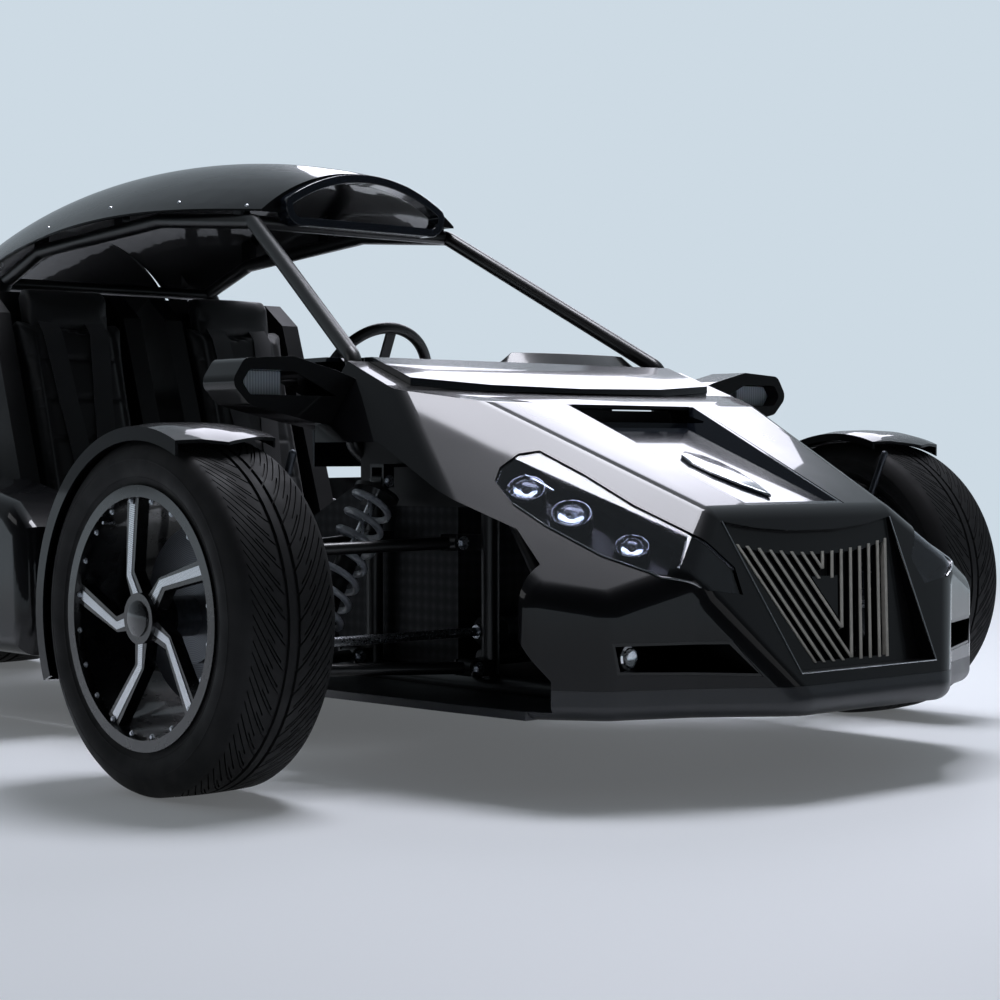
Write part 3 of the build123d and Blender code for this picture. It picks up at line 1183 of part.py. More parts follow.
def drive_chain():
    """Drive chain as a closed loop round both sprockets."""
    band = chain_loop(CHAIN_GAP + CHAIN_HEIGHT) - chain_loop(CHAIN_GAP)
    return extrude(Plane.YZ.offset(SPROCKET_X - CHAIN_WIDTH / 2 + 1) * band, CHAIN_WIDTH - 2)


def rear_fender():
    """Close mudguard over the rear tyre, on flat stays from the swingarm."""
    inner = REAR_TYRE_RADIUS + 16
    half = 186.0
    profile = [(-half, inner - 30), (-half, inner + 4), (half, inner + 4), (half, inner - 30),
               (half - 4, inner - 30), (half - 4, inner), (-half + 4, inner), (-half + 4, inner - 30)]
    sheet = turned(profile, 0, REAR_TYRE_RADIUS)
    z = REAR_TYRE_RADIUS
    sheet &= side_view([(0, z), (-500, z + 150), (-500, z + 500), (330, z + 500)], -half, half)
    foot_z = z + 24 + SEAT_GAP
    for way in (-1, 1):
        inner_x, outer_x = way * (half - 4), way * half
        sheet += side_view([(-150, foot_z), (-110, foot_z), (-150, z + 310), (-200, z + 270)],
                           min(inner_x, outer_x), max(inner_x, outer_x))
        outer_x = way * (SWING_X + 14)
        foot = block(min(inner_x, outer_x), max(inner_x, outer_x), -150, -110, foot_z - 14, foot_z + 6)
        sheet += foot - rod((way * SWING_X, -400, z), (way * SWING_X, 0, z), 24 + SEAT_GAP)
    return Pos(0, WHEELBASE, 0) * sheet


NODES = {
    "main_rails": main_rails,
    "sill_rails": sill_rails,
    "cross_tubes": cross_tubes,
    "front_frame": front_frame,
    "engine_cradle": engine_cradle,
    "roll_cage": roll_cage,
    "control_arms": control_arms,
    "coilovers": coilovers,
    "steering_rack": steering_rack,
    "tie_rods": tie_rods,
    "nose_shell": nose_shell,
    "shoulder_arms": shoulder_arms,
    "front_splitter": front_splitter,
    "hood_channel": hood_channel,
    "grille": grille,
    "headlamps": headlamps,
    "headlamp_covers": headlamp_covers,
    "fog_lamps": fog_lamps,
    "shoulder_lamps": shoulder_lamps,
    "radiator": radiator,
    "dash_cowl": dash_cowl,
    "instrument_hood": instrument_hood,
    "steering_column": steering_column,
    "steering_wheel": steering_wheel,
    "seat_shells": seat_shells,
    "seat_cushions": seat_cushions,
    "floor_pan": floor_pan,
    "roof_shell": roof_shell,
    "roof_scoop": roof_scoop,
    "engine_cover": engine_cover,
    "tail_lamps": tail_lamps,
    "side_pods": side_pods,
    "engine": engine,
    "exhaust": exhaust,
    "swingarm": swingarm,
    "rear_shock": rear_shock,
    "rear_rim": rear_rim,
    "rear_tyre": rear_tyre,
    "rear_sprocket": rear_sprocket,
    "drive_chain": drive_chain,
    "rear_fender": rear_fender,
}
for name, side in SIDES:
    NODES[f"upright_{name}"] = lambda side=side: upright(side)
    NODES[f"brake_disc_{name}"] = lambda side=side: brake_disc(side)
    NODES[f"front_fender_{name}"] = lambda side=side: front_fender(side)
    NODES[f"front_rim_{name}"] = lambda side=side: on_side(
        rim(FRONT_TYRE_WIDTH, FRONT_SEAT_RADIUS, FRONT_FLANGE_RADIUS, WHEEL_X, FRONT_TYRE_RADIUS, 0, SPOKES),
        side)
    NODES[f"front_tyre_{name}"] = lambda side=side: on_side(
        turned(tyre_profile(FRONT_TYRE_WIDTH, FRONT_TYRE_RADIUS, FRONT_SEAT_RADIUS), WHEEL_X,
               FRONT_TYRE_RADIUS), side)

for node, make in NODES.items():
    export_step(Pos(0, -ORIGIN_Y, 0) * make(), f"parts/{node}.step")
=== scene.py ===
# Looks of a three wheeled car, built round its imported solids.
# X runs to the car's left, Y to its rear, Z up, in metres, with the origin on the floor below its middle.
import json
import math

import bmesh
import bpy
from bpy.props import FloatProperty, FloatVectorProperty, IntProperty, PointerProperty
from mathutils import Matrix, Vector
from mathutils.bvhtree import BVHTree

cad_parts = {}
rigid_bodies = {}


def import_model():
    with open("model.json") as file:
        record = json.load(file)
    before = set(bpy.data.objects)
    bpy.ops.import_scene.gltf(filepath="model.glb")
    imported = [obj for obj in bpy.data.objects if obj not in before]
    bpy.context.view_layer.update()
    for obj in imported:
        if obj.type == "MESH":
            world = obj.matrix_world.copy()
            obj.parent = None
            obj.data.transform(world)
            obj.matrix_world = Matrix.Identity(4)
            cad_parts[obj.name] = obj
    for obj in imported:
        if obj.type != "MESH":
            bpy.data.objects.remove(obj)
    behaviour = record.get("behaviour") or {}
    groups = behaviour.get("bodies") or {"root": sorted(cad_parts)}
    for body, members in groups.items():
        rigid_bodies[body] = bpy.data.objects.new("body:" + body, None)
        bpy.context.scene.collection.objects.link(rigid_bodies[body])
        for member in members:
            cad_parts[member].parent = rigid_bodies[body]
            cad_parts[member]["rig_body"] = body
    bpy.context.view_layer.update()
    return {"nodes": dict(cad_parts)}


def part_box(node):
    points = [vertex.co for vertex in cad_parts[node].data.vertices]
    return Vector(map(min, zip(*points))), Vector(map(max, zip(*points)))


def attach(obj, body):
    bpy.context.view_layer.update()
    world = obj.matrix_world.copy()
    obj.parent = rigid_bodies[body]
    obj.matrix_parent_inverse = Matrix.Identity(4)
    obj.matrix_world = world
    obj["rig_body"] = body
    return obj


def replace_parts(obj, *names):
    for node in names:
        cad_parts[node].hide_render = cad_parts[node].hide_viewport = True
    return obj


bl_info = {
    "name": "Three wheeled car",
    "version": (1, 0, 0),
    "blender": (4, 5, 0),
    "location": "View3D > Sidebar > Car",
    "description": "Dresses the packed solids of a three wheeled car",
    "category": "Object",
}

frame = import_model()
NODES = frame["nodes"]
SIDES = (("left", 1.0), ("right", -1.0))
MM = 0.001

# Axles, as (y, z), and the front wheels' places across the car
FRONT_AXLE = (-0.9996, 0.2955)
REAR_AXLE = (1.2864, 0.3319)
WHEEL_X = 0.888


def spot(x, y, z):
    """A place given in mm, with y counted rearwards from the front axle."""
    return Vector((x * MM, y * MM + FRONT_AXLE[0], z * MM))


# Colour and shader helpers
def linear(hex_color):
    """An sRGB hex colour as linear RGBA."""
    channels = [int(hex_color[i:i + 2], 16) / 255 for i in (1, 3, 5)]
    return (*[c / 12.92 if c <= 0.04045 else ((c + 0.055) / 1.055) ** 2.4 for c in channels], 1.0)


def add_node(tree, kind, settings=None, inputs=None):
    """Adds a node, sets its properties and fills or links its inputs."""
    node = tree.nodes.new(kind)
    for name, value in (settings or {}).items():
        setattr(node, name, value)
    for name, value in (inputs or {}).items():
        if isinstance(value, bpy.types.NodeSocket):
            tree.links.new(value, node.inputs[name])
        else:
            node.inputs[name].default_value = value
    return node


def cells(size):
    """Scale of a noise or cell pattern whose cells are that many mm wide."""
    return 1000.0 / size


def waves(size):
    """Scale of a wave pattern that repeats after that many mm."""
    return 314.0 / size


# Kinds of relief: node, its settings and the output that is read
NOISE = ("ShaderNodeTexNoise", {}, "Fac")
RINGS = ("ShaderNodeTexWave", {"wave_type": "RINGS", "rings_direction": "X"}, "Fac")
RIBS_X = ("ShaderNodeTexWave", {"bands_direction": "X"}, "Fac")
RIBS_Z = ("ShaderNodeTexWave", {"bands_direction": "Z"}, "Fac")
WEAVE = ("ShaderNodeTexWave", {"bands_direction": "DIAGONAL"}, "Fac")
PEBBLES = ("ShaderNodeTexVoronoi", {"feature": "SMOOTH_F1"}, "Distance")
DIAMONDS = ("ShaderNodeTexVoronoi", {"distance": "MANHATTAN"}, "Distance")
FRONT_CENTRE = (0.0, -FRONT_AXLE[0], -FRONT_AXLE[1])

# One row a finish: name, sRGB ends of its tone, mm across its cloudy drift, ends of its roughness, its relief
# as (kind, inputs, depth in mm, strength), values on the shader's own sockets, and for some what leads tone
# and roughness in place of the drift, a centre or a stretch
FINISHES = {
    # Two-pack lacquer over fibreglass: a near black depth under a mirror-like coat with faint orange peel
    "lacquer": ("black_two_pack_lacquer", ("#040406", "#07070a"), 250.0, (0.30, 0.42),
        (NOISE, {"Scale": cells(4.0), "Detail": 1.0}, 0.02, 0.12),
        {"Specular IOR Level": 0.1, "Coat Weight": 1.0, "Coat Roughness": 0.035, "Coat IOR": 1.34}),
    # The same lacquer lightened to slate grey by painted reflection, on the panels let into the hood: it
    # shows as a lighter, softer band
    "reflection_grey": ("slate_grey_lacquer", ("#12161d", "#1a1f28"), 200.0, (0.18, 0.26),
        (NOISE, {"Scale": cells(4.0), "Detail": 1.0}, 0.02, 0.15),
        {"Specular IOR Level": 0.2, "Coat Weight": 1.0, "Coat Roughness": 0.06, "Coat IOR": 1.4}),
    # Black powder coat on steel tube: satin, with a fine pebbled skin
    "powder": ("black_powder_coat", ("#060607", "#0d0d0f"), 120.0, (0.34, 0.46),
        (NOISE, {"Scale": cells(2.5), "Detail": 2.0}, 0.06, 0.5),
        {"Specular IOR Level": 0.4, "Coat Weight": 0.3, "Coat Roughness": 0.2}),
    # Moulded black ABS: a dull spark-eroded grain that breaks up its highlights
    "abs": ("black_moulded_abs", ("#08080a", "#101012"), 100.0, (0.45, 0.6),
        (NOISE, {"Scale": cells(1.8), "Detail": 3.0}, 0.1, 0.5), {"Specular IOR Level": 0.35}),
    # Sprayed trim in plain black: glossy but hazier than the lacquer
    "trim": ("gloss_black_trim_paint", ("#040405", "#08080a"), 150.0, (0.28, 0.4),
        (NOISE, {"Scale": cells(3.0), "Detail": 1.0}, 0.03, 0.3),
        {"Specular IOR Level": 0.2, "Coat Weight": 0.6, "Coat Roughness": 0.12}),
    # Satin dark grey paint on the chin and undertray, dusted a little by the road
    "chin": ("satin_grey_chin_paint", ("#15171b", "#1e2126"), 160.0, (0.36, 0.5),
        (NOISE, {"Scale": cells(3.0), "Detail": 2.0}, 0.04, 0.3),
        {"Coat Weight": 0.3, "Coat Roughness": 0.25}),
    # Vulcanised rubber: carbon black and dull, scuffed paler in patches by the road
    "rubber": ("tyre_rubber", ("#0a0a0b", "#161617"), 50.0, (0.62, 0.82),
        (NOISE, {"Scale": cells(3.0), "Detail": 4.0}, 0.2, 0.4), {"Specular IOR Level": 0.35}),
    # Gloss enamel baked on a cast alloy wheel: deep black with crisp highlights on the spokes' edges
    "enamel": ("black_wheel_enamel", ("#040405", "#08080a"), 30.0, (0.24, 0.34),
        (NOISE, {"Scale": cells(2.0), "Detail": 1.0}, 0.03, 0.3),
        {"Specular IOR Level": 0.3, "Coat Weight": 1.0, "Coat Roughness": 0.06}),
    # Diamond-turned aluminium: bright, with arcs left by the tool, drawn 3 mm apart so that they show
    "machined": ("diamond_turned_aluminium", ("#c9ccd2", "#eceef1"), 40.0, (0.22, 0.34),
        (RINGS, {"Scale": waves(3.0), "Distortion": 0.5}, 0.02, 0.3), {"Metallic": 1.0},
        {"centre": FRONT_CENTRE, "led_by": "relief"}),
    # Bright zinc on steel fasteners: a cool silver with a slightly crystalline skin
    "zinc": ("zinc_plated_steel", ("#a5a9b0", "#d2d5da"), 4.0, (0.22, 0.36),
        (NOISE, {"Scale": cells(2.0), "Detail": 2.0}, 0.05, 0.3), {"Metallic": 1.0}),
    # Grey cast iron ground by the pads: fine concentric scoring
    "disc": ("ground_cast_iron", ("#54565a", "#808388"), 30.0, (0.28, 0.42),
        (RINGS, {"Scale": waves(3.0), "Distortion": 1.5, "Detail": 2.0}, 0.05, 0.4), {"Metallic": 1.0},
        {"centre": FRONT_CENTRE, "led_by": "relief"}),
    # Sand-cast aluminium under clear lacquer: a speckled mid grey
    "casting": ("sand_cast_aluminium", ("#3a3d42", "#54585e"), 25.0, (0.38, 0.54),
        (NOISE, {"Scale": cells(1.6), "Detail": 3.0}, 0.2, 0.5), {"Metallic": 0.9}),
    # Pale grey paint on coil springs, thick and slightly uneven
    "spring": ("pale_grey_spring_paint", ("#8a9097", "#b3b8bf"), 10.0, (0.26, 0.4),
        (NOISE, {"Scale": cells(6.0), "Detail": 2.0}, 0.1, 0.3),
        {"Coat Weight": 0.6, "Coat Roughness": 0.12}),
    # Champagne metallic paint on the slats: warm grey with a fine flake
    "slats": ("champagne_metallic_paint", ("#a39f95", "#c2beb4"), 12.0, (0.3, 0.42),
        (NOISE, {"Scale": cells(1.5), "Detail": 2.0}, 0.04, 0.3),
        {"Metallic": 0.2, "Coat Weight": 0.4, "Coat Roughness": 0.12}),
    # Brightened anodised aluminium of the thin trim strips: a clean silver line
    "bright": ("bright_anodised_aluminium", ("#cfd2d8", "#f0f1f3"), 30.0, (0.14, 0.22),
        (NOISE, {"Scale": cells(3.0), "Detail": 1.0}, 0.02, 0.2), {"Metallic": 1.0}),
    # Smoked polycarbonate of the lamp covers: clear, but it darkens what lies behind it
    "cover": ("smoked_polycarbonate", ("#b4b7c2", "#bfc2cd"), 100.0, (0.0, 0.02),
        (NOISE, {"Scale": cells(30.0), "Detail": 1.0}, 0.02, 0.2),
        {"Transmission Weight": 1.0, "IOR": 1.45, "Specular IOR Level": 0.15}),
    # Pressed clear glass of the projectors, with a faint ripple from the mould
    "lens": ("pressed_lens_glass", ("#dfe6ea", "#ffffff"), 20.0, (0.01, 0.04),
        (NOISE, {"Scale": cells(6.0), "Detail": 1.0}, 0.1, 0.2), {"Transmission Weight": 1.0, "IOR": 1.52}),
    # Vapour-deposited aluminium in the lamps: a near mirror
    "chrome": ("vapour_chrome", ("#c6c9ce", "#eceef0"), 10.0, (0.05, 0.12),
        (NOISE, {"Scale": cells(5.0), "Detail": 1.0}, 0.01, 0.2), {"Metallic": 1.0}),
    # Ribbed pale acrylic of the side lamps: milky, with painted highlight in bands along its ribs
    "pale": ("pale_ribbed_acrylic", ("#9aa3ab", "#c6cdd4"), 60.0, (0.1, 0.16),
        (RIBS_X, {"Scale": waves(6.0)}, 0.8, 0.5),
        {"Subsurface Weight": 0.2, "Subsurface Scale": 0.005, "Coat Weight": 1.0, "Coat Roughness": 0.03},
        {"led_by": "relief"}),
    # Red ribbed acrylic of the tail lamps, lighter and darker along its ribs in painted highlight bands
    "red": ("red_ribbed_acrylic", ("#5a0508", "#960c10"), 60.0, (0.08, 0.14),
        (RIBS_Z, {"Scale": waves(4.0)}, 0.6, 0.5), {"Coat Weight": 1.0, "Coat Roughness": 0.03},
        {"led_by": "relief"}),
    # Leatherette with a pebbled grain about 2.5 mm across: soft sheen, darker in its creases
    "vinyl": ("black_leatherette", ("#0b0b0d", "#151518"), 60.0, (0.4, 0.56),
        (PEBBLES, {"Scale": cells(2.5)}, 0.3, 0.4), {"Sheen Weight": 0.12, "Specular IOR Level": 0.45}),
    # Smooth leather of the steering wheel, polished by hands
    "leather": ("polished_black_leather", ("#09090a", "#131315"), 40.0, (0.3, 0.45),
        (NOISE, {"Scale": cells(3.0), "Detail": 3.0}, 0.2, 0.4), {"Specular IOR Level": 0.5}),
    # Woven polyester webbing: a dull twill, drawn with 3 mm ribs so that it shows, lighter on the ribs with
    # painted shade between them
    "webbing": ("woven_harness_webbing", ("#0e0e10", "#26262a"), 20.0, (0.6, 0.8),
        (WEAVE, {"Scale": waves(3.0)}, 0.4, 0.5), {"Sheen Weight": 0.4}, {"led_by": "relief"}),
    # Black anodised sheet with a raised diamond tread
    "sheet": ("chequered_anodised_sheet", ("#2a2b2e", "#141517"), 20.0, (0.35, 0.5),
        (DIAMONDS, {"Scale": cells(22.0), "Randomness": 0.0}, 1.0, 0.3), {"Metallic": 0.7},
        {"led_by": "relief"}),
    # Painted iron and alloy of the engine: rough cast, slightly oily
    "engine": ("painted_engine_casting", ("#0e0e10", "#1c1d1f"), 50.0, (0.42, 0.6),
        (NOISE, {"Scale": cells(2.0), "Detail": 3.0}, 0.4, 0.5), {"Metallic": 0.3}),
    # Brushed stainless steel, browned a little by heat
    "steel": ("brushed_stainless_steel", ("#a19c93", "#b6b6b8"), 200.0, (0.22, 0.38),
        (NOISE, {"Scale": cells(2.0), "Detail": 3.0}, 0.05, 0.3), {"Metallic": 1.0},
        {"stretch": (1.0, 0.05, 1.0)}),
    # Oiled carbon steel of chain and sprockets: dark, with oil collected in patches
    "chain": ("oiled_chain_steel", ("#35332f", "#5f5c56"), 10.0, (0.3, 0.5),
        (NOISE, {"Scale": cells(3.0), "Detail": 3.0}, 0.1, 0.3), {"Metallic": 1.0}),
    # Dipped aluminium core: fins folded every 4 mm, with painted shade nearly black between them
    "core": ("finned_radiator_core", ("#060607", "#1d1e20"), 60.0, (0.5, 0.6),
        (RIBS_X, {"Scale": waves(4.0)}, 1.0, 0.6), {"Metallic": 0.4}, {"led_by": "relief"}),
}
MADE = {}


def make_finish(row):
    """A node material from a row of finishes."""
    name, (first, second), patch, (smooth, dull), relief_row, values, extra = (*row, {})[:7]
    material = bpy.data.materials.new(name)
    material.use_nodes = True
    tree = material.node_tree
    shader = tree.nodes["Principled BSDF"]
    for socket, value in values.items():
        shader.inputs[socket].default_value = value
    place = add_node(tree, "ShaderNodeTexCoord").outputs["Object"]
    drift = add_node(tree, "ShaderNodeTexNoise", inputs={
        "Vector": place, "Scale": cells(patch), "Detail": 3.0}).outputs["Fac"]
    laid = add_node(tree, "ShaderNodeMapping", inputs={
        "Vector": place, "Location": extra.get("centre", (0.0, 0.0, 0.0)),
        "Scale": extra.get("stretch", (1.0, 1.0, 1.0))})
    (kind, settings, output), inputs, depth, strength = relief_row
    relief = add_node(tree, kind, settings, {"Vector": laid.outputs["Vector"], **inputs}).outputs[output]
    lead = relief if extra.get("led_by") == "relief" else drift
    tone = add_node(tree, "ShaderNodeMix", {"data_type": "RGBA"}, {
        0: lead, 6: linear(first), 7: linear(second)})
    tree.links.new(tone.outputs[2], shader.inputs["Base Color"])
    gloss = add_node(tree, "ShaderNodeMapRange", inputs={
        "Value": lead, "From Min": 0.3, "From Max": 0.7, "To Min": smooth, "To Max": dull})
    tree.links.new(gloss.outputs["Result"], shader.inputs["Roughness"])
    raised = add_node(tree, "ShaderNodeBump", inputs={
        "Height": relief, "Distance": depth * MM, "Strength": strength})
    tree.links.new(raised.outputs["Normal"], shader.inputs["Normal"])
    return material


def finish_of(name):
    """The material of that name, made once."""
    if name not in MADE:
        MADE[name] = make_finish(FINISHES[name])
    return MADE[name]


# Mesh helpers
def object_from(mesh, name, finish, body, crease=35.0, even=False):
    """Puts a bmesh on a new object that rides on a body, smooth but for edges past the crease angle."""
    limit = math.radians(crease)
    for face in mesh.faces:
        face.smooth = True
    for edge in mesh.edges:
        edge.smooth = len(edge.link_faces) == 2 and edge.calc_face_angle(0.0) < limit
    data = bpy.data.meshes.new(name)
    mesh.to_mesh(data)
    mesh.free()
    data.materials.append(finish_of(finish))
    piece = bpy.data.objects.new(name, data)
    bpy.context.scene.collection.objects.link(piece)
    if even:
        normals = piece.modifiers.new("even_shading", "WEIGHTED_NORMAL")
        normals.keep_sharp = True
    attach(piece, body)
    return piece


def merged(node):
    """A bmesh of a node's solid with its loose triangles merged."""
    mesh = bmesh.new()
    mesh.from_mesh(NODES[node].data)
    bmesh.ops.remove_doubles(mesh, verts=mesh.verts, dist=0.00002)
    return mesh


def body_of(node):
    """Name of the body that a node rides on."""
    return NODES[node]["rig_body"]


def add_piece(mesh, name, finish, node, crease=35.0):
    """A new piece that belongs to a node: it rides on its body."""
    return object_from(mesh, name, finish, body_of(node), crease)


def round_edges(mesh, width, segments, crease):
    """Rounds every edge that is sharper than the crease angle."""
    bmesh.ops.dissolve_limit(mesh, angle_limit=math.radians(0.8), verts=mesh.verts, edges=mesh.edges)
    limit = math.radians(crease)
    sharp = [edge for edge in mesh.edges if len(edge.link_faces) == 2 and edge.calc_face_angle(0.0) > limit]
    bmesh.ops.bevel(mesh, geom=sharp, offset=width, offset_type="OFFSET", segments=segments, profile=0.5,
                    affect="EDGES", clamp_overlap=True, material=-1)


def dressed(node, finish, crease=35.0, rounding=0.0, segments=3):
    """A smooth copy that stands for a node, with its sharp edges rounded where asked."""
    mesh = merged(node)
    if rounding:
        round_edges(mesh, rounding, segments, crease)
    piece = object_from(mesh, f"{node}_skin", finish, body_of(node), crease, True)
    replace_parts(piece, node)
    return piece


def mirrored(mesh):
    """Adds the mirror image of a mesh across the car."""
    copy = bmesh.ops.duplicate(mesh, geom=mesh.verts[:] + mesh.edges[:] + mesh.faces[:])["geom"]
    verts = [item for item in copy if isinstance(item, bmesh.types.BMVert)]
    faces = [item for item in copy if isinstance(item, bmesh.types.BMFace)]
    bmesh.ops.scale(mesh, verts=verts, vec=(-1.0, 1.0, 1.0))
    bmesh.ops.reverse_faces(mesh, faces=faces)


def plate(mesh, points, plane, thickness, rounding=0.0):
    """A flat plate from an outline on a plane given by its matrix, thick along the plane's z."""
    start = len(mesh.faces)
    corners = [mesh.verts.new(plane @ Vector((x, y, 0.0))) for x, y in points]
    face = mesh.faces.new(corners)
    raised = bmesh.ops.extrude_face_region(mesh, geom=[face])
    moved = [item for item in raised["geom"] if isinstance(item, bmesh.types.BMVert)]
    bmesh.ops.translate(mesh, verts=moved, vec=plane.to_3x3() @ Vector((0.0, 0.0, thickness)))
    mesh.faces.ensure_lookup_table()
    made = mesh.faces[start:]
    bmesh.ops.recalc_face_normals(mesh, faces=made)
    if rounding:
        edges = list({edge for face in made for edge in face.edges})
        bmesh.ops.bevel(mesh, geom=edges, offset=rounding, offset_type="OFFSET", segments=2, profile=0.5,
                        affect="EDGES", clamp_overlap=True, material=-1)


def block(mesh, low, high, rounding):
    """A block between two corners given in mm from the front axle, with rounded edges."""
    low, high = spot(*low), spot(*high)
    plane = Matrix.Translation(Vector((0.0, 0.0, low.z)))
    corners = [(low.x, low.y), (high.x, low.y), (high.x, high.y), (low.x, high.y)]
    plate(mesh, corners, plane, high.z - low.z, rounding)


def drum(mesh, start, end, radius, far_radius=None, segments=24):
    """A closed drum or cone between two points."""
    start, end = Vector(start), Vector(end)
    run = end - start
    turn = run.to_track_quat("Z", "Y").to_matrix().to_4x4()
    place = Matrix.Translation((start + end) / 2) @ turn
    far_radius = radius if far_radius is None else far_radius
    bmesh.ops.create_cone(mesh, cap_ends=True, segments=segments, radius1=radius, radius2=far_radius,
                          depth=run.length, matrix=place)


def lathe(mesh, profile, centre, axis, steps, closed=True):
    """A body spun from an outline in (along the axis, radius)."""
    axis = Vector(axis).normalized()
    side = axis.orthogonal().normalized()
    centre = Vector(centre)
    verts = [mesh.verts.new(centre + axis * along + side * radius) for along, radius in profile]
    pairs = list(zip(verts, verts[1:])) + ([(verts[-1], verts[0])] if closed else [])
    edges = [mesh.edges.new(pair) for pair in pairs]
    bmesh.ops.spin(mesh, geom=verts + edges, cent=centre, axis=axis, angle=math.tau, steps=steps,
                   use_merge=True)
    bmesh.ops.remove_doubles(mesh, verts=mesh.verts, dist=0.00001)
    bmesh.ops.recalc_face_normals(mesh, faces=mesh.faces)


def hoop(mesh, low, high, inner, outer, centre, axis, steps):
    """A ring of oblong section between two places along its axis, or a disc where its inner radius is 0."""
    lathe(mesh, [(low, inner), (low, outer), (high, outer), (high, inner)], centre, axis, steps, inner > 0.0)


def wire(mesh, points, radius, resolution=1):
    """A round wire along a line of points."""
    curve = bpy.data.curves.new("wire", "CURVE")
    curve.dimensions = "3D"
    curve.bevel_depth = radius
    curve.bevel_resolution = resolution
    curve.use_fill_caps = True
    spline = curve.splines.new("POLY")
    spline.points.add(len(points) - 1)
    for point, place in zip(spline.points, points):
        point.co = (*place, 1.0)
    holder = bpy.data.objects.new("wire", curve)
    bpy.context.scene.collection.objects.link(holder)
    graph = bpy.context.evaluated_depsgraph_get()
    data = bpy.data.meshes.new_from_object(holder.evaluated_get(graph))
    mesh.from_mesh(data)
    bpy.data.objects.remove(holder)
    bpy.data.curves.remove(curve)
    bpy.data.meshes.remove(data)


def bolt_head(mesh, place, way, radius):
    """A hexagon head on its washer."""
    place, way = Vector(place), Vector(way).normalized()
    drum(mesh, place - way * radius * 0.3, place + way * radius * 0.25, radius * 1.35, segments=16)
    drum(mesh, place, place + way * radius * 0.9, radius, radius * 0.92, segments=6)


def surface_of(*pieces):
    """What a ray can hit: the meshes of some pieces."""
    mesh = bmesh.new()
    for piece in pieces:
        mesh.from_mesh(piece.data)
    tree = BVHTree.FromBMesh(mesh)
    mesh.free()
    return tree


def dropped(tree, point, way, lift):
    """The place where a ray from a point first meets a surface, lifted back by a little."""
    way = Vector(way).normalized()
    hit = tree.ray_cast(Vector(point), way)[0]
    return None if hit is None else hit - way * lift


# Sizes and colours that a user would change
class CarTyreSettings(bpy.types.PropertyGroup):
    """Tread of the tyres."""
    groove_depth: FloatProperty(name="Groove depth", description="Depth of the tread grooves", default=0.005,
                                min=0.001, max=0.01, unit="LENGTH")
    blocks: IntProperty(name="Pitches", description="Groove pitches round the tyre", default=46,
                        min=20, max=80)
    sweep: FloatProperty(name="Sweep", description="How far a groove runs round from crown to shoulder",
                         default=math.radians(20.0), subtype="ANGLE")


class CarBodySettings(bpy.types.PropertyGroup):
    """Edges and fasteners of the body."""
    trim_round: FloatProperty(name="Trim edge radius", description="Radius of trim edges", default=0.002,
                              min=0.0005, max=0.01, unit="LENGTH")
    screw: FloatProperty(name="Panel screw", description="Radius of the panel screws", default=0.005,
                         min=0.002, max=0.01, unit="LENGTH")


class CarCabinSettings(bpy.types.PropertyGroup):
    """Seats and harnesses."""
    fill: FloatProperty(name="Fill", description="How tight the pads are stuffed", default=0.7,
                        min=0.1, max=1.0)
    strap: FloatProperty(name="Strap width", description="Width of the harness straps", default=0.05,
                         min=0.03, max=0.08, unit="LENGTH")


class CarStageSettings(bpy.types.PropertyGroup):
    """Floor, lamps and camera."""
    floor_color: FloatVectorProperty(name="Floor", description="Colour of the studio floor", subtype="COLOR",
                                     size=4, default=linear("#f1f4f7"), min=0.0, max=1.0)
    backdrop_color: FloatVectorProperty(name="Backdrop", description="Colour of the studio wall",
                                        subtype="COLOR", size=4, default=linear("#cddae4"), min=0.0, max=1.0)
    lens: FloatProperty(name="Lens", description="Focal length on a 36 mm frame", default=78.96,
                        min=20.0, max=200.0)


# Body panels: node, finish, crease angle, edge rounding in mm
PANELS = (
    ("nose_shell", "lacquer", 30.0, 0.0),
    ("shoulder_arms", "lacquer", 30.0, 4.0),
    # The hood's tray, the cowl and the roof scoop take the lacquer lightened with painted reflection
    ("hood_channel", "reflection_grey", 25.0, 0.0),
    ("dash_cowl", "reflection_grey", 25.0, 2.0),
    ("side_pods", "lacquer", 35.0, 0.0),
    ("roof_shell", "lacquer", 40.0, 0.0),
    ("roof_scoop", "reflection_grey", 30.0, 2.0),
    ("engine_cover", "lacquer", 40.0, 0.0),
    ("front_fender_left", "lacquer", 40.0, 0.0),
    ("front_fender_right", "lacquer", 40.0, 0.0),
    ("front_splitter", "chin", 30.0, 0.0),
    ("instrument_hood", "trim", 25.0, 3.0),
    ("rear_fender", "trim", 40.0, 0.0),
)
# Teardrop on the hood's tray, in mm: outline, place over the tray, height and edge rounding, then the (y, z)
# of the tray's normal
TEARDROP = ((-93, 0), (-75, 25), (-36, 39), (15, 37), (78, 22), (132, 0), (78, -22), (15, -37), (-36, -39),
            (-75, -25))
TEARDROP_PLACE = (-8, -385, 570)
TEARDROP_HEIGHT = 7.0
TEARDROP_ROUND = 2.8
TRAY_NORMAL = (-0.345, 0.939)
# Dark sheets put behind the intake slot and inside the wheel arches as painted shade, as their low and high
# corners in mm
SHADE_SHEETS = (((-168, -100, 590), (168, -96, 646)), ((398, -150, 470), (402, 150, 590)),
          ((-402, -150, 470), (-398, 150, 590)))
# Panel screws on the left, in mm: y, x and z of a line that leads each one to the roof or tail, the line's
# slope and the x at which it starts
PANEL_SCREWS = ((700, 290, 1085), (900, 300, 1100), (1150, 320, 1110), (1400, 330, 1085), (1650, 330, 1025),
                (1835, 316, 980), (1866, 316, 975), (2080, 290, 745), (2280, 250, 765), (2480, 210, 780))
SCREW_SLOPE = 0.25
SCREW_START = 600


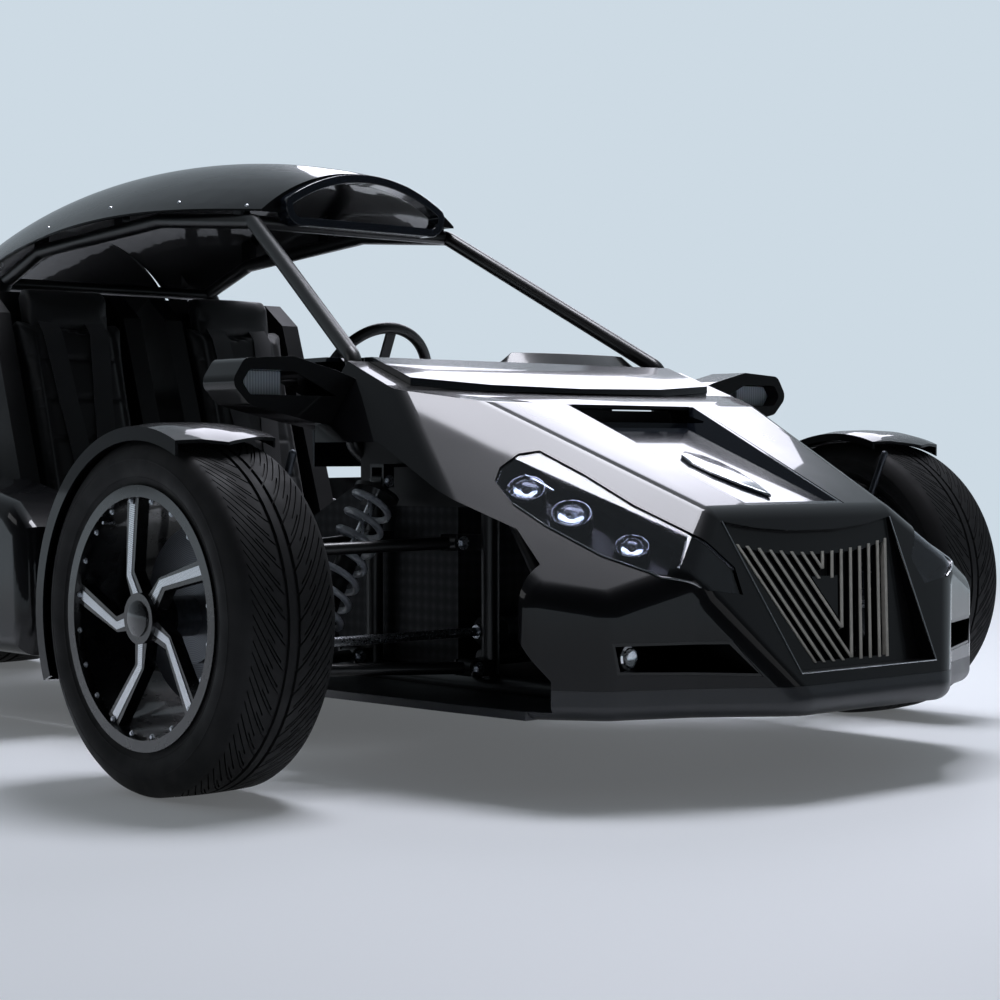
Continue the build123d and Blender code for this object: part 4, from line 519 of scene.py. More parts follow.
class CAR_OT_panels(bpy.types.Operator):
    """Dress the body panels in lacquer and fasten them with flush screws"""
    bl_idname = "car.panels"
    bl_label = "Body panels"

    def execute(self, context):
        settings = context.scene.car_body
        skins = {}
        for node, finish, crease, rounding in PANELS:
            skins[node] = dressed(node, finish, crease, rounding * MM)
        teardrop = bmesh.new()
        tray = surface_of(skins["hood_channel"])
        foot = dropped(tray, spot(*TEARDROP_PLACE) + Vector((0.0, 0.0, 0.1)), (0, 0, -1), 0.0)
        slope = math.atan2(-TRAY_NORMAL[0], TRAY_NORMAL[1])
        plane = (Matrix.Translation(foot) @ Matrix.Rotation(slope, 4, "X")
                 @ Matrix.Rotation(math.radians(-90), 4, "Z"))
        plate(teardrop, [(x * MM, y * MM) for x, y in TEARDROP], plane, TEARDROP_HEIGHT * MM,
              TEARDROP_ROUND * MM)
        add_piece(teardrop, "hood_teardrop", "bright", "hood_channel", 60.0)
        # Dark moulded sheets where there is only shade, behind the slot and in the arches
        shade_sheets = bmesh.new()
        for low, high in SHADE_SHEETS:
            block(shade_sheets, low, high, 0.001)
        add_piece(shade_sheets, "arch_liners", "abs", "nose_shell")
        screws = bmesh.new()
        roof = surface_of(skins["roof_shell"], skins["engine_cover"])
        for y, x, z in PANEL_SCREWS:
            for _, side in SIDES:
                way = Vector((-side, 0.0, -SCREW_SLOPE)).normalized()
                start = spot(side * SCREW_START, y, z + SCREW_SLOPE * (SCREW_START - x))
                place = dropped(roof, start, way, 0.0)
                if place is not None:
                    drum(screws, place + way * 0.002, place - way * 0.0012, settings.screw,
                         settings.screw * 0.8, 16)
        add_piece(screws, "panel_screws", "zinc", "roof_shell")
        return {"FINISHED"}


# Frame and running gear: node, finish
RUNNING_GEAR = (
    ("main_rails", "powder"), ("sill_rails", "powder"), ("cross_tubes", "powder"), ("front_frame", "powder"),
    ("engine_cradle", "powder"), ("roll_cage", "powder"), ("control_arms", "powder"),
    ("steering_rack", "casting"), ("tie_rods", "zinc"), ("steering_column", "powder"), ("swingarm", "powder"),
    ("upright_left", "casting"), ("upright_right", "casting"), ("brake_disc_left", "disc"),
    ("brake_disc_right", "disc"), ("engine", "engine"), ("exhaust", "steel"), ("rear_sprocket", "chain"),
    ("radiator", "core"), ("floor_pan", "sheet"),
)
ENGINE_ROUND = 0.006
# Bolts of the front suspension on the left, in mm: node that carries it, place, way that it faces, radius
SUSPENSION_BOLTS = (
    ("front_frame", (412, -190.5, 190), (0, -1, 0), 9.0), ("front_frame", (412, -139.5, 190), (0, 1, 0), 9.0),
    ("front_frame", (412, 190.5, 190), (0, 1, 0), 9.0), ("front_frame", (412, 139.5, 190), (0, -1, 0), 9.0),
    ("front_frame", (412, -150.5, 408), (0, -1, 0), 9.0), ("front_frame", (412, 150.5, 408), (0, 1, 0), 9.0),
    ("front_frame", (450, 8.5, 516), (0, -1, 0), 8.0), ("front_frame", (450, 47.5, 516), (0, 1, 0), 8.0),
    ("control_arms", (618, 8.5, 222), (0, -1, 0), 8.0), ("control_arms", (618, 47.5, 222), (0, 1, 0), 8.0),
    ("upright", (790, 0, 404), (0, 0, 1), 11.0), ("upright", (790, 0, 187), (0, 0, -1), 11.0),
    ("upright", (885, -152, 345), (1, 0, 0), 7.0), ("upright", (885, -152, 246), (1, 0, 0), 7.0),
    ("upright", (744, 0, 340), (-1, 0, 0), 6.0), ("upright", (744, 38, 276), (-1, 0, 0), 6.0),
)


class CAR_OT_running_gear(bpy.types.Operator):
    """Dress the frame, suspension, steering, engine and exhaust, and bolt them together"""
    bl_idname = "car.running_gear"
    bl_label = "Frame and running gear"

    def execute(self, context):
        for node, finish in RUNNING_GEAR:
            dressed(node, finish, 35.0, ENGINE_ROUND if node == "engine" else 0.0)
        heads = {}
        for name, side in SIDES:
            for carrier, (x, y, z), (dx, dy, dz), radius in SUSPENSION_BOLTS:
                node = f"upright_{name}" if carrier == "upright" else carrier
                heads.setdefault(node, bmesh.new())
                bolt_head(heads[node], spot(side * x, y, z), (side * dx, dy, dz), radius * MM)
        for node, mesh in heads.items():
            add_piece(mesh, f"{node}_bolts", "zinc", node)
        self.boots()
        self.engine_parts()
        return {"FINISHED"}

    def boots(self):
        """Rubber bellows at both ends of the rack housing."""
        bellows = bmesh.new()
        for _, side in SIDES:
            profile = [(0.0, 0.0135), (0.0, 0.025)]
            for ring in range(6):
                profile += [(0.004 + ring * 0.008, 0.026), (0.008 + ring * 0.008, 0.020)]
            profile += [(0.054, 0.016), (0.054, 0.0135)]
            lathe(bellows, profile, spot(side * 300, -125, 248), (side, 0, 0), 24)
        add_piece(bellows, "rack_bellows", "rubber", "steering_rack")

    def engine_parts(self):
        """Covers, fins and bolts on the engine, two bands and a tip on the silencer."""
        low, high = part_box("engine")
        middle = (low + high) / 2
        covers = bmesh.new()
        bolts = bmesh.new()
        for y, z, radius in ((middle.y - 0.02, low.z + 0.13, 0.085), (middle.y + 0.04, high.z - 0.13, 0.06)):
            centre = Vector((low.x, y, z))
            cover = [(-0.002, 0.0), (-0.002, radius), (0.010, radius), (0.016, radius - 0.008), (0.018, 0.0)]
            lathe(covers, cover, centre, (-1, 0, 0), 40, False)
            for index in range(8):
                angle = math.tau * index / 8
                offset = Vector((0.0, math.cos(angle), math.sin(angle))) * (radius - 0.012)
                bolt_head(bolts, centre + offset - Vector((0.016, 0.0, 0.0)), (-1, 0, 0), 0.004)
        for index in range(9):
            x = low.x + 0.03 + index * (high.x - low.x - 0.12) / 8
            fin = Matrix.Translation(Vector((x, 0.0, high.z - 0.002))) @ Matrix.Rotation(math.pi / 2, 4, "Y")
            plate(covers, [(0.0, low.y + 0.02), (-0.022, low.y + 0.03), (-0.022, high.y - 0.03),
                           (0.0, high.y - 0.02)], fin, 0.005, 0.001)
        add_piece(covers, "engine_covers", "casting", "engine")
        add_piece(bolts, "engine_bolts", "zinc", "engine")
        silencer = bmesh.new()
        start, end = spot(-300, 2040, 480), spot(-300, 2420, 540)
        axis = (end - start).normalized()
        tip = [(0.0, 0.027), (0.0, 0.050), (0.006, 0.050), (0.010, 0.046), (0.010, 0.027)]
        lathe(silencer, tip, end, axis, 40)
        for share in (0.06, 0.94):
            hoop(silencer, -0.008, 0.008, 0.055, 0.0595, start + (end - start) * share, axis, 40)
        add_piece(silencer, "silencer_bands", "bright", "exhaust")


# Spring and damper units, in mm: name, node, foot, head, tube radius, coil radius, way of the eyes, and
# whether there is one on each side
DAMPERS = (
    ("front_damper", "coilovers", (618.0, 28.0, 222.0), (450.0, 28.0, 516.0), 20.0, 36.0, (0, 1, 0), True),
    ("rear_damper", "rear_shock", (0.0, 1919.0, 378.0), (0.0, 1876.0, 606.0), 20.0, 30.0, (1, 0, 0), False),
)
COIL_TURNS = 7
COIL_STEPS = 24
COIL_WIRE = 0.0062


class CAR_OT_dampers(bpy.types.Operator):
    """Make the dampers with their round wire springs, collars and eyes"""
    bl_idname = "car.dampers"
    bl_label = "Springs and dampers"

    def execute(self, context):
        for name, node, foot, head, tube, coil, across, pair in DAMPERS:
            foot, head, across = spot(*foot), spot(*head), Vector(across)
            axis = (head - foot).normalized()
            run = (head - foot).length
            metal = bmesh.new()
            neck = run * 0.6
            lathe(metal, [(0.026, 0.0), (0.026, tube * MM), (neck, tube * MM), (neck + 0.003, 0.014),
                          (neck + 0.003, 0.0)], foot, axis, 28, False)
            hoop(metal, 0.0, 0.03, 0.0, 0.010, foot, axis, 20)
            for low, high in ((0.036, 0.044), (run - 0.030, run - 0.022)):
                hoop(metal, low, high, 0.0, coil * MM + 0.006, foot, axis, 36)
            for ring in range(9):
                place = 0.05 + ring * 0.005
                hoop(metal, place, place + 0.0025, 0.019, 0.0215, foot, axis, 28)
            shaft = bmesh.new()
            drum(shaft, foot + axis * run * 0.5, head - axis * 0.008, 0.008, segments=20)
            for eye in (foot, head):
                hoop(metal, -0.014, 0.014, 0.0075, 0.014, eye, across, 28)
            spring = bmesh.new()
            side = across - axis * across.dot(axis)
            side.normalize()
            front = axis.cross(side)
            count = COIL_TURNS * COIL_STEPS
            points = []
            for index in range(count + 1):
                angle = math.tau * index / COIL_STEPS
                rise = 0.049 + (run - 0.084) * index / count
                round_way = side * math.cos(angle) + front * math.sin(angle)
                points.append(foot + axis * rise + round_way * coil * MM)
            wire(spring, points, COIL_WIRE, 2)
            for mesh in (metal, shaft, spring):
                if pair:
                    mirrored(mesh)
            for mesh, part, finish in ((metal, "body", "powder"), (shaft, "shaft", "bright"),
                                       (spring, "spring", "spring")):
                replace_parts(add_piece(mesh, f"{name}_{part}", finish, node), node)
        return {"FINISHED"}


# Tyres: node, x of the middle, axle, width, seat radius. Each stands on the floor, so its axle's height is
# its radius
TYRES = (
    ("front_tyre_left", WHEEL_X, FRONT_AXLE, 0.205, 0.203),
    ("front_tyre_right", -WHEEL_X, FRONT_AXLE, 0.205, 0.203),
    ("rear_tyre", 0.0, REAR_AXLE, 0.295, 0.2286),
)
TREAD_STEPS = 9
# Grooves on one half of the crown: column they are cut in, and where they run, as shares of the way outwards
GROOVES = ((0, 0.10, 0.96), (4, 0.42, 1.0), (7, 0.25, 0.60))
RING_GROOVE = (0.12, 0.19)


def tyre_outline(width, radius, seat):
    """Section of a tyre as (across, radius): outside from the left bead over the crown, then the inside."""
    half = width / 2
    height = radius - seat
    wall = [(half - 0.0145, seat), (half - 0.011, seat + 0.012), (half - 0.012, seat + 0.018),
            (half - 0.004, seat + height * 0.36), (half - 0.0005, seat + height * 0.52),
            (half - 0.003, seat + height * 0.66), (half - 0.007, seat + height * 0.76),
            (half - 0.012, radius - 0.0125), (half - 0.019, radius - 0.0055)]
    crown = half - 0.026
    count = 22
    tread = [(crown * (1 - 2 * index / count), radius - 0.0022 * (1 - 2 * index / count) ** 2)
             for index in range(count + 1)]
    outside = wall + tread + [(-x, r) for x, r in reversed(wall)]
    inside = [(-half + 0.028, seat), (-half + 0.016, seat + height * 0.5), (-half + 0.03, radius - 0.014),
              (half - 0.03, radius - 0.014), (half - 0.016, seat + height * 0.5), (half - 0.028, seat)]
    return outside + inside


def cut_tread(mesh, centre, radius, width, pitches, sweep, depth):
    """Sweeping grooves: the tread's columns turn with their way from the crown, and some are sunk."""
    half = width / 2 - 0.026
    columns = pitches * TREAD_STEPS
    grooves = []
    for face in mesh.faces:
        middle = face.calc_center_median() - centre
        far = math.hypot(middle.y, middle.z)
        across = abs(middle.x)
        if far < radius - 0.008 or across > half:
            continue
        column = int(round((math.atan2(middle.z, middle.y) / math.tau) * columns - 0.5)) % TREAD_STEPS
        share = across / half
        swept = any(column == place and low < share < high for place, low, high in GROOVES)
        if swept or RING_GROOVE[0] < share < RING_GROOVE[1]:
            grooves.append(face)
    bmesh.ops.inset_region(mesh, faces=grooves, thickness=0.0004, depth=-depth, use_even_offset=True)
    for vert in mesh.verts:
        offset = vert.co - centre
        share = min(1.0, abs(offset.x) / half)
        turn = Matrix.Rotation(-sweep * (share ** 1.4), 3, "X")
        vert.co = centre + turn @ offset


class CAR_OT_tyres(bpy.types.Operator):
    """Make the tyres with their moulded sidewalls and directional tread"""
    bl_idname = "car.tyres"
    bl_label = "Tyres"

    def execute(self, context):
        settings = context.scene.car_tyres
        for node, x, (y, radius), width, seat in TYRES:
            pitches = round(settings.blocks * radius / FRONT_AXLE[1])
            centre = Vector((x, y, radius))
            mesh = bmesh.new()
            lathe(mesh, tyre_outline(width, radius, seat), centre, (1, 0, 0), pitches * TREAD_STEPS)
            cut_tread(mesh, centre, radius, width, pitches, settings.sweep, settings.groove_depth)
            for way in (-1, 1):
                for rib, reach in ((0.30, 0.0075), (0.62, 0.0028)):
                    ring = seat + (radius - seat) * rib
                    out = way * (width / 2 - reach)
                    lathe(mesh, [(out - 0.001, ring - 0.0012), (out + way * 0.0012, ring - 0.0006),
                                 (out + way * 0.0012, ring + 0.0006), (out - 0.001, ring + 0.0012)],
                          centre, (1, 0, 0), 120)
            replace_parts(add_piece(mesh, f"{node}_treaded", "rubber", node, 45.0), node)
        return {"FINISHED"}


# Face of a wheel's spoke as (across, outwards), in metres: a bright stripe runs down its middle
STRIPE = ((-0.0375, 0.186), (-0.0215, 0.186), (-0.0335, 0.071), (-0.003, 0.026), (-0.012, 0.014),
          (-0.046, 0.068))
WHEEL_SPOKES = 5
RIM_BOLTS = 20
FACE_OUT = 0.0858


def wheel_plane(x, axle, side, angle, out):
    """Plane on the outer face of a wheel: its x runs forwards, its y outwards from the hub at that angle."""
    y, z = axle
    matrix = Matrix.Identity(4)
    matrix.col[0][:3] = (0, -math.cos(angle), math.sin(angle))
    matrix.col[1][:3] = (0, math.sin(angle), math.cos(angle))
    matrix.col[2][:3] = (side, 0, 0)
    matrix.translation = Vector((x + side * out, y, z))
    return matrix


class CAR_OT_wheels(bpy.types.Operator):
    """Dress the rims and add stripes, bolts, caps and valves"""
    bl_idname = "car.wheels"
    bl_label = "Wheels"

    def execute(self, context):
        trim = context.scene.car_body.trim_round
        y, z = FRONT_AXLE
        for name, side in SIDES:
            node = f"front_rim_{name}"
            x = side * WHEEL_X
            dressed(node, "enamel", 30.0, trim)
            stripes = bmesh.new()
            bolts = bmesh.new()
            for index in range(WHEEL_SPOKES):
                plane = wheel_plane(x, FRONT_AXLE, side, math.tau * index / WHEEL_SPOKES, FACE_OUT)
                plate(stripes, STRIPE, plane, 0.0012)
                bolt_head(bolts, plane @ Vector((0.006, 0.030, 0.004)), (side, 0, 0), 0.0065)
            for index in range(RIM_BOLTS):
                plane = wheel_plane(x, FRONT_AXLE, side, math.tau * (index + 0.5) / RIM_BOLTS, 0.088)
                bolt_head(bolts, plane @ Vector((0.0, 0.1935, 0.0)), (side, 0, 0), 0.0038)
            add_piece(stripes, f"spoke_stripes_{name}", "machined", node)
            add_piece(bolts, f"wheel_bolts_{name}", "zinc", node)
            cap = bmesh.new()
            out = Vector((side * (WHEEL_X + 0.0945), y, z))
            lathe(cap, [(0.0, 0.0), (0.0, 0.030), (0.004, 0.029), (0.006, 0.024), (0.0065, 0.0)], out,
                  (side, 0, 0), 40, False)
            add_piece(cap, f"hub_cap_{name}", "enamel", node)
            valve = bmesh.new()
            plane = wheel_plane(x, FRONT_AXLE, side, math.radians(36), 0.07)
            root = plane @ Vector((0.0, 0.190, 0.0))
            drum(valve, root, root + Vector((side * 0.022, 0.0, 0.0)), 0.0032, 0.0028, 12)
            add_piece(valve, f"tyre_valve_{name}", "zinc", node)
        dressed("rear_rim", "enamel", 30.0, trim)
        return {"FINISHED"}


# Slatted part of the grille in mm: foot and top as (y, z), half widths at foot and top, number of slats, how
# many beside the middle stop at the plain triangle, and the share of the length at which it starts
GRILLE_FOOT = (-684.0, 212.0)
GRILLE_TOP = (-596.0, 416.0)
GRILLE_HALVES = (98.0, 202.0)
GRILLE_SLATS = 16
HOLLOW_SLATS = 3
HOLLOW_SHARE = 0.68
# Sag of its top edge, as (share of the half width, drop)
GRILLE_SAG = ((0.0, 20.0), (0.26, 20.0), (0.66, 13.0), (1.0, 0.0))
BAR_HALF = 3.4
BAR_SINK = 0.0075
BAR_HEIGHT = 0.009
# Bright line round the mouth as (x, z) in mm, on the face that passes through MOUTH_FACE with that slope
MOUTH_LINE = ((226, 452), (213, 379), (182, 206), (-182, 206), (-213, 379), (-226, 452))
MOUTH_FACE = (-763.0, 136.0)
MOUTH_SLOPE = 0.5569


def grille_sag(share):
    """Drop of the slats' top edge at a share of the half width."""
    for (first, start), (second, end) in zip(GRILLE_SAG, GRILLE_SAG[1:]):
        if share <= second:
            return start + (end - start) * (share - first) / (second - first)
    return 0.0


class CAR_OT_grille(bpy.types.Operator):
    """Dress the grille in black and cap its slats with rounded bars"""
    bl_idname = "car.grille"
    bl_label = "Grille"

    def execute(self, context):
        dressed("grille", "trim", 30.0)
        (foot_y, foot_z), (top_y, top_z) = GRILLE_FOOT, GRILLE_TOP
        rise, back = top_z - foot_z, top_y - foot_y
        length = math.hypot(rise, back)
        foot_half, top_half = GRILLE_HALVES
        lean = (top_half - foot_half) / length
        pitch = 2 * top_half / GRILLE_SLATS
        plane = Matrix.Identity(4)
        plane.col[1][:3] = (0.0, back / length, rise / length)
        plane.col[2][:3] = (0.0, -rise / length, back / length)
        plane.translation = spot(0.0, foot_y, foot_z)
        plane = plane @ Matrix.Translation((0.0, 0.0, -BAR_SINK))
        bars = bmesh.new()
        for index in range(GRILLE_SLATS // 2):
            x = top_half - pitch * index
            if index == 0:
                x -= 4.0
            end = 3.0 if x / lean >= length else length - x / lean
            if index > GRILLE_SLATS // 2 - HOLLOW_SLATS:
                end = max(end, length * HOLLOW_SHARE)
            foot = x - (length - end) * lean
            top = length - grille_sag(x / top_half) - 2.0
            head = x - (length - top) * lean
            for way in (-1, 1):
                outline = [(way * (head - BAR_HALF), top), (way * (head + BAR_HALF), top),
                           (way * (foot + BAR_HALF), end), (way * (foot - BAR_HALF), end)]
                plate(bars, [(a * MM, b * MM) for a, b in outline], plane, BAR_HEIGHT, 0.0012)
        add_piece(bars, "grille_bars", "slats", "grille")
        strip = bmesh.new()
        face_y, face_z = MOUTH_FACE
        points = [spot(x * 0.985, face_y + MOUTH_SLOPE * (z - face_z), z) for x, z in MOUTH_LINE]
        wire(strip, points, 0.0016, 2)
        add_piece(strip, "mouth_strip", "bright", "nose_shell")
        return {"FINISHED"}


# Headlamp face in mm: a point on it, the way it faces, and the way along it
LAMP_POINT = (400, -470, 440)
LAMP_NORMAL = Vector((0.44, -0.46, 0.77)).normalized()
LAMP_ALONG = Vector((0.45, 0.85, 0.25))
# Line of the bright strip under the left lamp in mm, rear end first
LAMP_EDGE = ((466, -339, 480), (456, -409, 445), (429, -513, 398), (386, -605, 365), (310, -647, 339))
# Each projector on the lamp's plane as (along, across, radius), and the floor that they stand on
LAMP_PROJECTORS = ((158, 72, 34), (62, 42, 36), (-62, 6, 30))
PROJECTOR_FLOOR = -28.0
# Bar beside the upper projector, on the same plane, and the middle of the left fog lamp
LAMP_BAR = ((112, 86), (176, 112), (182, 104), (118, 78))
FOG_LAMP = (415, -560, 235)


def lamp_plane():
    """Plane of the left headlamp face: x rearwards along it, z outwards."""
    along = (LAMP_ALONG - LAMP_NORMAL * LAMP_ALONG.dot(LAMP_NORMAL)).normalized()
    plane = Matrix.Identity(4)
    plane.col[0][:3] = along
    plane.col[1][:3] = LAMP_NORMAL.cross(along)
    plane.col[2][:3] = LAMP_NORMAL
    plane.translation = spot(*LAMP_POINT)
    return plane


class CAR_OT_lamps(bpy.types.Operator):
    """Dress the lamps and add projectors, rings, lenses and trim"""
    bl_idname = "car.lamps"
    bl_label = "Lamps"

    def execute(self, context):
        dressed("headlamps", "trim", 30.0)
        dressed("headlamp_covers", "cover", 30.0)
        dressed("fog_lamps", "trim", 30.0)
        dressed("shoulder_lamps", "pale", 30.0, 0.003)
        dressed("tail_lamps", "red", 30.0, 0.001)
        plane = lamp_plane()
        chrome = bmesh.new()
        glass = bmesh.new()
        for x, y, radius in LAMP_PROJECTORS:
            centre = plane @ Vector((x * MM, y * MM, PROJECTOR_FLOOR * MM))
            wide = radius * MM
            bezel = [(0.0, wide - 0.006), (0.0, wide - 0.001), (0.007, wide - 0.002), (0.007, wide - 0.004)]
            lathe(chrome, bezel, centre, LAMP_NORMAL, 40)
            bowl = [(0.0, 0.0), (0.0, wide - 0.007), (0.002, wide - 0.008), (-0.001, 0.0)]
            lathe(chrome, bowl, centre, LAMP_NORMAL, 40, False)
            dome = [(0.003, wide - 0.007), (0.006, wide - 0.009), (0.010, wide * 0.5), (0.0125, 0.0),
                    (0.0085, 0.0), (0.006, wide * 0.45), (0.003, wide - 0.012)]
            lathe(glass, dome, centre, LAMP_NORMAL, 40)
        inner = plane @ Matrix.Translation((0.0, 0.0, -0.026))
        plate(chrome, [(x * MM, y * MM) for x, y in LAMP_BAR], inner, 0.004, 0.001)
        ring, ahead = spot(*FOG_LAMP), (0, -1, 0)
        lathe(chrome, [(0.0, 0.017), (0.0, 0.0215), (0.003, 0.021), (0.004, 0.017)], ring, ahead, 32)
        lathe(chrome, [(0.0, 0.0), (0.0, 0.017), (0.001, 0.016), (0.0, 0.0)], ring, ahead, 32, False)
        lathe(glass, [(0.001, 0.0165), (0.004, 0.013), (0.006, 0.0), (0.004, 0.0), (0.002, 0.012)], ring,
              ahead, 32)
        for mesh in (chrome, glass):
            mirrored(mesh)
        add_piece(chrome, "lamp_reflectors", "chrome", "headlamps")
        add_piece(glass, "lamp_lenses", "lens", "headlamp_covers")
        skin = surface_of(NODES["nose_shell"], NODES["headlamp_covers"])
        line = []
        for start, end in zip(LAMP_EDGE, LAMP_EDGE[1:]):
            for step in range(6):
                high = spot(*start).lerp(spot(*end), step / 6) + LAMP_NORMAL * 0.04
                place = dropped(skin, high, -LAMP_NORMAL, 0.0006)
                if place is not None and (place - high).length < 0.08:
                    line.append(place)
        strip = bmesh.new()
        wire(strip, line, 0.0018, 1)
        mirrored(strip)
        add_piece(strip, "lamp_strips", "bright", "nose_shell")
        return {"FINISHED"}


# Left seat in mm: middle, and each pad as name, side view (y, z) and half width
SEAT_X = 235.0
SEAT_PADS = (
    ("seat_base", [(903, 312), (1284, 262), (1290, 300), (1280, 312), (912, 345), (896, 332)], 144.0),
    ("seat_back", [(1308, 306), (1333, 305), (1500, 860), (1476, 880), (1454, 868), (1300, 330)], 144.0),
    ("headrest", [(1452, 848), (1496, 842), (1520, 930), (1506, 948), (1478, 948), (1462, 930)], 105.0),
)
# Furthest that the air moves a point of a pad, in metres
PAD_SWELL = 0.016
VOXEL = 0.006
AIR_PRESSURE = 4.0
CLOTH_FRAMES = 20
# Sewn channels across a pad, as shares of its length
CHANNELS = {"seat_base": (0.22, 0.42, 0.62, 0.82), "seat_back": (0.18, 0.34, 0.50, 0.66, 0.82),
            "headrest": ()}
# Seams, in metres: half length of a channel, how far out the bolster seam runs, half widths, and their depth
CHANNEL_REACH = 0.098
BOLSTER_SEAM = 0.1
CHANNEL_WIDTH = 0.006
BOLSTER_WIDTH = 0.005
SEAM_DEPTH = 0.0055


def swollen(piece, cap):
    """Fills a closed pad with air as cloth, no point moving further than the cap, and keeps the result."""
    scene = bpy.context.scene
    before = [vert.co.copy() for vert in piece.data.vertices]
    cloth = piece.modifiers.new("pad", "CLOTH")
    cloth.settings.use_pressure = True
    cloth.settings.uniform_pressure_force = AIR_PRESSURE
    cloth.settings.effector_weights.gravity = 0.0
    for number in range(1, CLOTH_FRAMES + 1):
        scene.frame_set(number)
    graph = bpy.context.evaluated_depsgraph_get()
    after = bpy.data.meshes.new_from_object(piece.evaluated_get(graph))
    for vert, start, moved in zip(piece.data.vertices, before, after.vertices):
        step = moved.co - start
        vert.co = start + step * min(1.0, cap / max(step.length, 1e-6))
    piece.modifiers.remove(cloth)
    bpy.data.meshes.remove(after)
    scene.frame_set(1)


class CAR_OT_seats(bpy.types.Operator):
    """Make the seats: hard shells with swollen pads, sewn channels and headrests"""
    bl_idname = "car.seats"
    bl_label = "Seats"

    def execute(self, context):
        dressed("seat_shells", "abs", 30.0, 0.01)
        for name, outline, half in SEAT_PADS:
            mesh = bmesh.new()
            plane = Matrix(((0, 0, 1, 0), (1, 0, 0, 0), (0, 1, 0, 0), (0, 0, 0, 1)))
            plane.translation = spot(SEAT_X - half, 0, 0)
            plate(mesh, [(y * MM, z * MM) for y, z in outline], plane, 2 * half * MM, 0.008)
            data = bpy.data.meshes.new(name)
            mesh.to_mesh(data)
            mesh.free()
            data.materials.append(finish_of("vinyl"))
            piece = bpy.data.objects.new(f"{name}_left", data)
            context.scene.collection.objects.link(piece)
            for other in context.selected_objects:
                other.select_set(False)
            context.view_layer.objects.active = piece
            piece.select_set(True)
            data.remesh_voxel_size = VOXEL
            bpy.ops.object.voxel_remesh()
            swollen(piece, PAD_SWELL)
            self.sew(piece, name, outline)
            finer = piece.modifiers.new("finer", "SUBSURF")
            finer.levels = finer.render_levels = 1
            piece.data.shade_smooth()
            other = bpy.data.objects.new(f"{name}_right", piece.data.copy())
            context.scene.collection.objects.link(other)
            other.data.transform(Matrix.Scale(-1.0, 4, (1, 0, 0)))
            other.data.flip_normals()
            finer = other.modifiers.new("finer", "SUBSURF")
            finer.levels = finer.render_levels = 1
            for pad in (piece, other):
                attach(pad, body_of("seat_cushions"))
                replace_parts(pad, "seat_cushions")
        return {"FINISHED"}

    def sew(self, piece, name, outline):
        """Pulls the pad in along its sewn channels and beside its bolster seams."""
        start = (spot(0, *outline[0]) + spot(0, *outline[-1])) / 2
        end = (spot(0, *outline[2]) + spot(0, *outline[3])) / 2
        if name != "seat_base":
            start, end = spot(0, *outline[0]), spot(0, *outline[3])
        run = end - start
        long = run.length
        run.normalize()
        middle = sum((vert.co for vert in piece.data.vertices), Vector()) / len(piece.data.vertices)
        for vert in piece.data.vertices:
            along = (vert.co - start).dot(run) / long
            across = abs(vert.co.x - SEAT_X * MM)
            pull = 0.0
            if across < CHANNEL_REACH:
                for place in CHANNELS[name]:
                    pull = max(pull, math.exp(-((along - place) * long / CHANNEL_WIDTH) ** 2))
            if name != "headrest":
                pull = max(pull, math.exp(-((across - BOLSTER_SEAM) / BOLSTER_WIDTH) ** 2))
            inward = middle - vert.co
            inward.x = 0.0
            inward -= run * inward.dot(run)
            if inward.length > 1e-6:
                vert.co += inward.normalized() * pull * SEAM_DEPTH


# Cabin, in mm: how far each shoulder strap is from the seat's middle, dials and switches as (x, z) on the
# fascia, the fascia's y, and the pedals' x
SHOULDER_STRAP = 62
DIALS = ((182, 688), (288, 688))
SWITCHES = ((-70, 690), (-28, 690), (14, 690), (56, 690))
FASCIA_Y = 300
PEDALS = (150, 232, 312)


